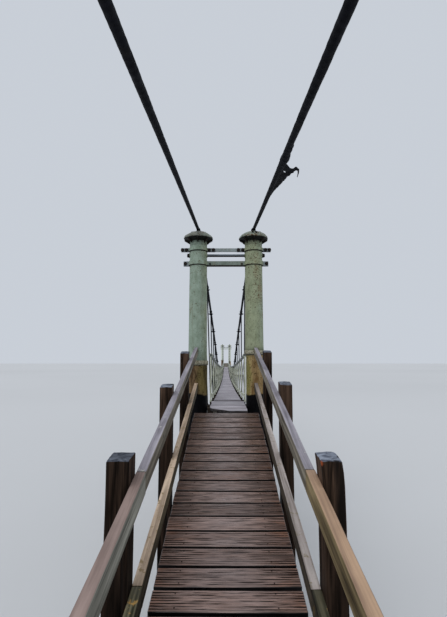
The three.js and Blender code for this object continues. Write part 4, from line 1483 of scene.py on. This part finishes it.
def deck_frame(place):
    """The two runners of one stretch, its bolted cross timbers, and a short one at a tower."""
    start, end = stretch_ends(place, GAP / 2)
    under = DECK_THICKNESS + GAP
    timbers = []
    for side in HANDS.values():
        runner = block((side * RUNNER_INNER, start, -under - RUNNER_DEPTH),
                       (side * RUNNER_OUTER, end, -under), real(3), cuts=((1, 40),))
        weather(drape(runner, deck_top), real(1.5), real(200), seed=side)
        timbers.append(tint(reshape(runner, swayed), -1))
    edge = TRANSOM_WIDTH / 2
    transom = block((-TRANSOM_HALF_LENGTH, -edge, -TRANSOM_DEPTH), (TRANSOM_HALF_LENGTH, edge, 0), real(4),
                    cuts=((0, 5),))
    stations = [s for s in panel_points() if start < s < end]
    timbers += [reshape(each, swayed) for each in
                stamped(transom, [Matrix.Translation((0, s, transom_top(s))) for s in stations])]
    reach = COLUMN_X - BASE_RADIUS["left"] - real(4)
    timbers += [block((-reach, s - edge, transom_top(s) - TOWER_TRANSOM_DEPTH),
                      (reach, s + edge, transom_top(s)), real(4)) for s in (0, SPAN) if start < s < end]
    wood = paint(smooth(joined(timbers)), "frame_timber")
    x = (RUNNER_INNER + RUNNER_OUTER) / 2
    places = [facing(swayed(Vector((side * x, s, transom_top(s) - TRANSOM_DEPTH))), (0, 0, -1))
              for s in stations for side in HANDS.values()]
    return joined([wood, fixings(places, 22, 12, 36, 10)])


class BRIDGE_OT_add_deck_frame(bpy.types.Operator):
    """Models the runners and cross timbers under the hanging deck, with their bolts"""
    bl_idname = "footbridge.add_deck_frame"
    bl_label = "Deck frame"

    def execute(self, context):
        for place in JOINT_PANELS:
            settle(deck_frame(place), f"deck_frame_{place}", NEAR)
        return {"FINISHED"}


# Ramps

def grooved_board():
    """A board on the origin with its top at zero, grooved along its length."""
    settings = bpy.context.scene.footbridge_timber
    half = (RAMP_BOARD_PITCH - settings.board_gap) / 2
    piece = block((-RAMP_HALF_WIDTH, -half, -BOARD_THICKNESS), (RAMP_HALF_WIDTH, half, 0), real(3))
    count = settings.groove_count
    pitch = 2 * half / (count + 1)
    groove = settings.groove_width
    for index in range(count):
        centre = -half + (index + 1) * pitch
        for edge in (-1, 1):
            bisect(piece, (0, centre + edge * groove / 2, 0), (0, 1, 0))
    cut_across(piece, 0, 22)

    def in_groove(face):
        place = (face.calc_center_median().y + half) / pitch
        near_groove = abs(place - round(place)) * pitch < groove / 3 and 0.5 < place < count + 0.5
        return near_groove and face.normal.z > 0.9
    edit(piece, "FACE", in_groove)
    push_out(-settings.groove_depth)
    done_editing()
    return outward(piece)


def worn_board(master, seed, chance):
    """One board of the ramp: its grooves fade towards the trodden middle."""
    depth = bpy.context.scene.footbridge_timber.groove_depth
    board = own_copy(master)
    furrows = []
    for vertex in board.data.vertices:
        co = vertex.co
        in_groove = -depth * 1.01 < co.z < -depth * 0.99
        reach = abs(co.x) / RAMP_HALF_WIDTH
        wear = noise.noise(Vector((co.x / real(90), co.y / real(13), seed * 3.1)))
        keep = held(0.9 * reach ** 1.2 + 1.3 * wear, 0.02)
        furrows.append(keep if in_groove else 0.0)
        if in_groove:
            co.z = -depth * keep
        elif co.z > -real(0.5):
            co.z -= real(1.2) * (1 - reach) + real(0.8) * wear
        if abs(co.x) > RAMP_HALF_WIDTH * 0.99:
            co.x += real(2) * noise.noise(Vector((co.y / real(20), co.z / real(20), seed)))
    store(board, "furrow", furrows)
    return tint(board, chance.uniform(-0.7, 0.7))


def board_place(index, lift=0.0, turn=0.0):
    """Where a board of the ramp lies. The upper boards lie a little closer to the tower."""
    y = RAMP_TOP_Y - (index + 0.5) * RAMP_BOARD_PITCH / SLOPE_LENGTH
    y += UPPER_BOARDS_SHIFT * held((y - UPPER_BOARDS_START) / UPPER_BOARDS_RUN)
    return (Matrix.Translation((0, y, ramp_top(y) + lift))
            @ Matrix.Rotation(SLOPE_ANGLE, 4, "X") @ Matrix.Rotation(turn, 4, "Z"))


def ramp_screws(chance):
    """Two screws through each board into each stringer."""
    head = revolve([(real(4), 0), (real(4), real(1.5)), (real(3), real(2.2)), (real(2), real(1))], 8)
    places = []
    for index in range(RAMP_BOARD_COUNT):
        for side in HANDS.values():
            for offset in (real(-48), real(52)):
                x = side * (STRINGER_INNER + STRINGER_OUTER) / 2 + chance.uniform(-1, 1) * real(6)
                places.append(board_place(index) @ Matrix.Translation((x, offset, -real(1.6))))
    return paint(joined(stamped(head, places)), "bolt")


def ramp_deck():
    """The boards of a ramp: the top ones and the lower ones have shrunk most."""
    chance = random.Random("ramp boards")
    master = grooved_board()
    boards = []
    for index in range(RAMP_BOARD_COUNT):
        board = worn_board(master, index, chance)
        shrunk = 1 - 0.055 * held(index / 3 - 5) - 0.05 * max(1 - index / 9, 0)
        board.data.transform(Matrix.Diagonal((1.01, shrunk, 1, 1)))
        shift = Matrix.Translation((real(5) + chance.uniform(-1, 1) * real(4), 0, 0))
        place = board_place(index, -real(1.5) * chance.random(), chance.uniform(-1, 1) * 0.0045)
        board.data.transform(place @ shift)
        boards.append(board)
    bpy.data.objects.remove(master)
    deck = paint(smooth(joined(boards), 30), "ramp_board")
    return joined([deck, ramp_screws(chance)])


class BRIDGE_OT_add_ramp_deck(bpy.types.Operator):
    """Models the grooved boards of the ramps, each worn in its own way, and their screws"""
    bl_idname = "footbridge.add_ramp_deck"
    bl_label = "Ramp decks"

    def execute(self, context):
        at_both_ends(ramp_deck(), "ramp_deck")
        return {"FINISHED"}


def stringer(side):
    """A sloping beam under the ramp boards, cut off level at its foot."""
    drop = BOARD_THICKNESS * SLOPE_LENGTH + GAP
    depth = STRINGER_DEPTH * SLOPE_LENGTH
    piece = block((side * STRINGER_INNER, STRINGER_FOOT_Y, -drop - depth),
                  (side * STRINGER_OUTER, STRINGER_TOP_Y, -drop), real(3), cuts=((1, 60), (2, 2)))
    weather(drape(piece, ramp_top), real(2), real(180), seed=side)
    bisect(piece, (0, 0, 0), (0, 0, -1), clear=True, fill=True)
    return paint(smooth(piece), "frame_timber")


class BRIDGE_OT_add_stringers(bpy.types.Operator):
    """Models the sloping stringers that carry the ramp boards"""
    bl_idname = "footbridge.add_stringers"
    bl_label = "Stringers"

    def execute(self, context):
        for hand, side in HANDS.items():
            at_both_ends(stringer(side), "stringer", hand)
        return {"FINISHED"}


def post_y(index):
    return FIRST_POST_Y - index * POST_SPACING


# Each post was cut by hand: its height over its neighbours in real millimetres, and its tone
POST_CUTS = {-1: ((-11, -0.1), (-31, 1.6), (12, -0.6), (0, 0.3), (0, 0.0)),
             1: ((0, 0.0), (-9, 0.4), (14, 0.9), (0, 0.1), (0, 0.4))}
THICKER_POST = (-1, 2)
LEANING_POST = (1, 2)


def post(side, index):
    """A post with a weathered top, its end grain opened by checks."""
    y = post_y(index)
    cut, tone = POST_CUTS[side][index]
    thicker = real(11) if (side, index) == THICKER_POST else 0
    lean = real(10) if (side, index) == LEANING_POST else 0
    top = ramp_top(y) + POST_RISE + real(cut)
    slant = 0.17 - 0.045 * min(index, 2)
    piece = block((side * POST_INNER, y - POST_DEPTH / 2, 0),
                  (side * (POST_INNER + POST_WIDTH), y + POST_DEPTH / 2, top),
                  real(5), cuts=((2, 24), (0, 4), (1, 6)), segments=2)
    centre = Vector((side * (POST_INNER + POST_WIDTH / 2), y, top))
    seed = index * 2.7 + side

    def rule(co):
        worn = noise.noise_vector(Vector((co.x / real(90), co.y / real(90), co.z / real(500) + seed)))
        moved = co + worn * real(3.5)
        if co.z > top - real(30):
            check = noise.noise(Vector((co.x / real(40) + seed, co.y / real(16), 0)))
            out = (co - centre).length / real(75)
            moved.z += real(4) * check - real(4) * min(out, 1.2) ** 2 + slant * (co.y - y)
        moved.z = 0 if co.z < real(1) else max(moved.z, 0)
        from_rail = max(side * moved.x - POST_INNER, 0)
        swell = thicker * from_rail / POST_WIDTH - lean * held((co.z - top) / real(90) + 1)
        moved.x = side * (POST_INNER + from_rail + swell)
        return moved
    tint(reshape(piece, rule), tone)
    return paint(smooth(piece, 40), "post")


def ramp_frame(index):
    """Two posts and the bearer that is bolted between them under the stringers."""
    y = post_y(index)
    edge = BEARER_WIDTH / 2
    under = (BOARD_THICKNESS + STRINGER_DEPTH) * SLOPE_LENGTH + 2 * GAP
    top = ramp_top(y - edge) - under
    reach = POST_INNER + real(2)
    posts = [post(side, index) for side in HANDS.values()]
    bearer = block((-reach, y - edge, top - BEARER_HEIGHT), (reach, y + edge, top), real(4), cuts=((0, 12),))
    weather(bearer, real(2), real(120), seed=index)
    outer = POST_INNER + POST_WIDTH - real(2)
    ends = [facing((side * outer, y, top - BEARER_HEIGHT / 2), (side, 0, 0)) for side in HANDS.values()]
    return joined([*posts, paint(smooth(bearer), "frame_timber"), fixings(ends, 28, 14, 52, 10)])


class BRIDGE_OT_add_ramp_frames(bpy.types.Operator):
    """Models the posts with their bearers and bolts, and the posts at the ramp's foot"""
    bl_idname = "footbridge.add_ramp_frames"
    bl_label = "Ramp posts and bearers"

    def execute(self, context):
        for index in range(POST_COUNT - 1):
            at_both_ends(ramp_frame(index), f"ramp_frame_{index + 1}")
        for hand, side in HANDS.items():
            at_both_ends(post(side, POST_COUNT - 1), "foot_post", hand)
        return {"FINISHED"}


def rail_length(side, start, end, rise, depth, seed, scribe=None):
    """One length of rail between two distances from the tower, cut to a column of radius scribe."""
    piece = block((side * RAIL_INNER, start, -depth * SLOPE_LENGTH), (side * RAIL_OUTER, end, 0),
                  real(4), cuts=((1, 44), (0, 4), (2, 4)), segments=2)
    shift = Vector((seed * 3.1, seed * 1.7, seed * 2.3))

    def rule(co):
        bend = noise.noise_vector(Vector((co.x / real(70), co.y / real(420), co.z / real(70))) + shift)
        moved = co + bend * real(2.6)
        edge_loss = noise.noise(Vector((co.y / real(60), seed, 0)))
        if co.z > -real(8) and abs(abs(co.x) - RAIL_INNER) < real(8):
            moved.z -= real(3.5) * max(edge_loss, 0)
        moved.x = held(moved.x, -RAIL_OUTER, RAIL_OUTER)
        return moved
    reshape(piece, rule)
    if scribe:
        reach_in, reach_out = (math.sqrt(scribe ** 2 - (x - COLUMN_X) ** 2) + real(3)
                               for x in (RAIL_INNER, RAIL_OUTER))
        slant = Vector((-(reach_in - reach_out) * side, RAIL_OUTER - RAIL_INNER, 0)).normalized()
        bisect(piece, (side * RAIL_INNER, -reach_in, 0), slant, clear=True, fill=True)
    return smooth(drape(piece, lambda y: ramp_top(y) + rise), 40)


LOWER_MIDRAIL_TONE = {"left": 0.5, "right": -0.8}


def whole_rail(hand, rise, depth, lower_finish, upper_finish, seam):
    """A rail in two lengths that meet at a seam, scribed to the collar or the pipe at its head."""
    side = HANDS[hand]
    middle_height = ramp_top(0) + rise - depth / 2
    meets_collar = abs(middle_height - COLLAR_LEVEL[hand]) < (depth + COLLAR_HEIGHT) / 2
    scribe = COLLAR_RADIUS if meets_collar else BASE_RADIUS[hand]
    half_joint = real(3)
    seed = side + rise * 10
    lower = rail_length(side, RAIL_FOOT_Y, seam - half_joint, rise, depth, seed)
    upper = rail_length(side, seam + half_joint, real(-60), rise, depth, seed + 5, scribe)
    tint(lower, LOWER_MIDRAIL_TONE[hand] if rise == MIDRAIL_RISE else 0)
    tint(upper, 0)
    return joined([paint(lower, lower_finish), paint(upper, upper_finish)])


class BRIDGE_OT_add_rails(bpy.types.Operator):
    """Models the handrails and midrails, each in two lengths that meet at a seam"""
    bl_idname = "footbridge.add_rails"
    bl_label = "Handrails and midrails"

    def execute(self, context):
        finishes = {
            "left": (("rail_pink", "rail_grey"), ("midrail_green", "midrail_tan")),
            "right": (("rail_tan", "rail_grey"), ("midrail_green", "midrail_grey")),
        }
        for hand, (handrail, midrail) in finishes.items():
            piece = whole_rail(hand, HANDRAIL_RISE, HANDRAIL_DEPTH, *handrail, HANDRAIL_SEAM_Y[hand])
            at_both_ends(piece, "handrail", hand)
            piece = whole_rail(hand, MIDRAIL_RISE, MIDRAIL_DEPTH, *midrail, MIDRAIL_SEAM_Y[hand])
            at_both_ends(piece, "midrail", hand)
        return {"FINISHED"}


# Anchor blocks

def anchor_block():
    """Cast concrete with eased edges, and a steel socket where each cable enters."""
    low = Vector((BLOCK_LOW.x, BLOCK_LOW.y - TOWER_Y, 0))
    high = Vector((BLOCK_HIGH.x, BLOCK_HIGH.y - TOWER_Y, BLOCK_HIGH.z))
    centre = (low + high) / 2
    length = high.y - low.y
    shoulder = high.z - real(100)
    piece = block(low, high)
    edit(piece, "FACE", lambda face: face.normal.z > 0.9)
    push_out(0)
    bpy.ops.transform.resize(value=(1, 1 - 2 * real(150) / length, 1),
                             center_override=(centre.x, centre.y, high.z))
    done_editing()
    reshape(piece, lambda co: Vector((co.x, co.y, shoulder)) if co.z > high.z - real(1)
            and abs(abs(co.y - centre.y) - length / 2) < real(1) else co)
    outward(piece)
    for axis, count in ((0, 14), (2, 10), (1, 8)):
        cut_across(piece, axis, count)
    weather(chamfer(piece, real(14), 2), real(5), real(260), seed=2)
    reshape(piece, lambda co: Vector((
        held(co.x, low.x, high.x), held(co.y, low.y, high.y),
        held(co.z, 0, high.z) if co.z > real(6) else 0)))
    paint(smooth(piece, 30), "concrete")
    face_y = high.y
    entry = backstay_point(1, face_y).z
    size = real(120)
    bolt_reach = real(92)
    steel, places = [], []
    for side in HANDS.values():
        x = side * COLUMN_X
        steel.append(block((x - size, face_y - real(6), entry - size), (x + size, face_y, entry + size),
                           real(3)))
        sleeve = revolve([(real(44), 0), (real(44), real(30)), (real(34), real(120)),
                          (real(27), real(160)), (real(24), real(163))], 20)
        sleeve.data.transform(facing((x, face_y - real(8), entry), (0, 1, BACKSTAY_FALL)))
        steel.append(sleeve)
        places += [facing((x + dx * bolt_reach, face_y - real(2), entry + dz * bolt_reach), (0, 1, 0))
                   for dx in (-1, 1) for dz in (-1, 1)]
    plates = paint(smooth(joined(steel)), "rod")
    return joined([piece, plates, fixings(places, 36, 20, 60, 16)])


class BRIDGE_OT_add_anchor_blocks(bpy.types.Operator):
    """Models the concrete blocks that hold the backstays, with their sockets and bolts"""
    bl_idname = "footbridge.add_anchor_blocks"
    bl_label = "Anchor blocks"

    def execute(self, context):
        at_both_ends(anchor_block(), "anchor_block")
        return {"FINISHED"}


# Stage

def floor_material():
    maker = Maker("pale_floor", roughness=0.9)
    broad = maker.noise(0.05, detail=3)
    return maker.finish(maker.mix(maker.band(broad, 0.3, 0.7), (0.56, 0.565, 0.57), (0.60, 0.605, 0.61)))


# The camera, as the photograph's lines give it: eye height, distance before the tower and turns
EYE_HEIGHT = real(2000)
EYE_DISTANCE = real(6340)
EYE_PITCH = 7.06
EYE_YAW = 0.335
FOCAL_PIXELS = 428
PICTURE_HEIGHT = 617
SENSOR_SIZE = 36


class BRIDGE_OT_add_stage(bpy.types.Operator):
    """Adds the pale floor, the soft light and the camera at the photograph's view"""
    bl_idname = "footbridge.add_stage"
    bl_label = "Stage, light and camera"

    def execute(self, context):
        settings = context.scene.footbridge_stage
        clear_selection()
        bpy.ops.mesh.primitive_plane_add(size=settings.floor_size)
        floor = bpy.context.object
        floor.name = "floor"
        floor.data.materials.append(floor_material())
        world = bpy.data.worlds.new("pale_sky")
        context.scene.world = world
        world.use_nodes = True
        background = world.node_tree.nodes["Background"]
        background.inputs["Color"].default_value = (*settings.sky_colour, 1)
        background.inputs["Strength"].default_value = settings.sky_strength
        clear_selection()
        bpy.ops.object.light_add(type="SUN", rotation=(math.radians(28), math.radians(-18), 0))
        sun = bpy.context.object
        sun.name = "soft_overhead_light"
        sun.data.energy = settings.light_strength
        sun.data.angle = math.radians(60)
        bpy.ops.object.camera_add(location=(0, TOWER_Y - EYE_DISTANCE, EYE_HEIGHT))
        camera = bpy.context.object
        camera.name = "photograph_view"
        camera.rotation_euler = (math.radians(90 + EYE_PITCH), 0, math.radians(EYE_YAW))
        camera.data.sensor_width = SENSOR_SIZE
        camera.data.lens = SENSOR_SIZE * FOCAL_PIXELS / PICTURE_HEIGHT
        camera.data.clip_start = 0.02
        camera.data.clip_end = 500
        context.scene.camera = camera
        context.scene.view_settings.view_transform = "Standard"
        return {"FINISHED"}


# What a user would change

class TimberSettings(bpy.types.PropertyGroup):
    """Sizes and colours of the ramp boards"""
    groove_count: IntProperty(
        name="Grooves", description="Grooves along the top of each ramp board", default=7, min=0)
    groove_width: FloatProperty(
        name="Groove width", description="Width of each groove", default=real(8), unit="LENGTH")
    groove_depth: FloatProperty(
        name="Groove depth", description="Depth of a groove where it is not worn", default=real(5),
        unit="LENGTH")
    board_gap: FloatProperty(
        name="Board gap", description="Gap between two ramp boards", default=real(20), unit="LENGTH")
    ramp_dark: FloatVectorProperty(
        name="Dark grain", description="Darker colour of the wet ramp boards", subtype="COLOR",
        default=(0.050, 0.028, 0.021), min=0, max=1)
    ramp_light: FloatVectorProperty(
        name="Light grain", description="Lighter colour of the wet ramp boards", subtype="COLOR",
        default=(0.265, 0.165, 0.130), min=0, max=1)
    ramp_bloom: FloatVectorProperty(
        name="Trodden grey", description="Grey bloom where the boards are walked on", subtype="COLOR",
        default=(0.300, 0.240, 0.228), min=0, max=1)


class StageSettings(bpy.types.PropertyGroup):
    """Floor, sky and light"""
    floor_size: FloatProperty(
        name="Floor size", description="Side of the floor", default=400, unit="LENGTH")
    sky_colour: FloatVectorProperty(
        name="Sky colour", description="Colour of the even light all round", subtype="COLOR",
        default=(0.58, 0.62, 0.68), min=0, max=1)
    sky_strength: FloatProperty(
        name="Sky strength", description="Strength of the even light all round", default=1.0, min=0)
    light_strength: FloatProperty(
        name="Overhead light", description="Strength of the soft light from above", default=1.2, min=0)


OPERATORS = (
    BRIDGE_OT_add_stage,
    BRIDGE_OT_add_columns,
    BRIDGE_OT_add_caps,
    BRIDGE_OT_add_ties,
    BRIDGE_OT_add_backstays,
    BRIDGE_OT_add_main_cables,
    BRIDGE_OT_add_parapets,
    BRIDGE_OT_add_hanging_deck,
    BRIDGE_OT_add_deck_frame,
    BRIDGE_OT_add_ramp_deck,
    BRIDGE_OT_add_stringers,
    BRIDGE_OT_add_ramp_frames,
    BRIDGE_OT_add_rails,
    BRIDGE_OT_add_anchor_blocks,
)


class BRIDGE_PT_footbridge(bpy.types.Panel):
    """Lists the bridge's pieces in the order in which they are made"""
    bl_idname = "BRIDGE_PT_footbridge"
    bl_label = "Footbridge"
    bl_space_type = "VIEW_3D"
    bl_region_type = "UI"
    bl_category = "Footbridge"

    def draw(self, context):
        column = self.layout.column(align=True)
        for operator in OPERATORS:
            column.operator(operator.bl_idname)
        for group in (context.scene.footbridge_timber, context.scene.footbridge_stage):
            for name in group.bl_rna.properties.keys():
                if name not in ("rna_type", "name"):
                    column.prop(group, name)


CLASSES = (TimberSettings, StageSettings, *OPERATORS, BRIDGE_PT_footbridge)


def register():
    for each in CLASSES:
        bpy.utils.register_class(each)
    bpy.types.Scene.footbridge_timber = PointerProperty(type=TimberSettings)
    bpy.types.Scene.footbridge_stage = PointerProperty(type=StageSettings)


def unregister():
    del bpy.types.Scene.footbridge_stage
    del bpy.types.Scene.footbridge_timber
    for each in reversed(CLASSES):
        bpy.utils.unregister_class(each)


def main():
    register()
    for operator in OPERATORS:
        group, name = operator.bl_idname.split(".")
        getattr(getattr(bpy.ops, group), name)()


if __name__ == "__main__":
    main()
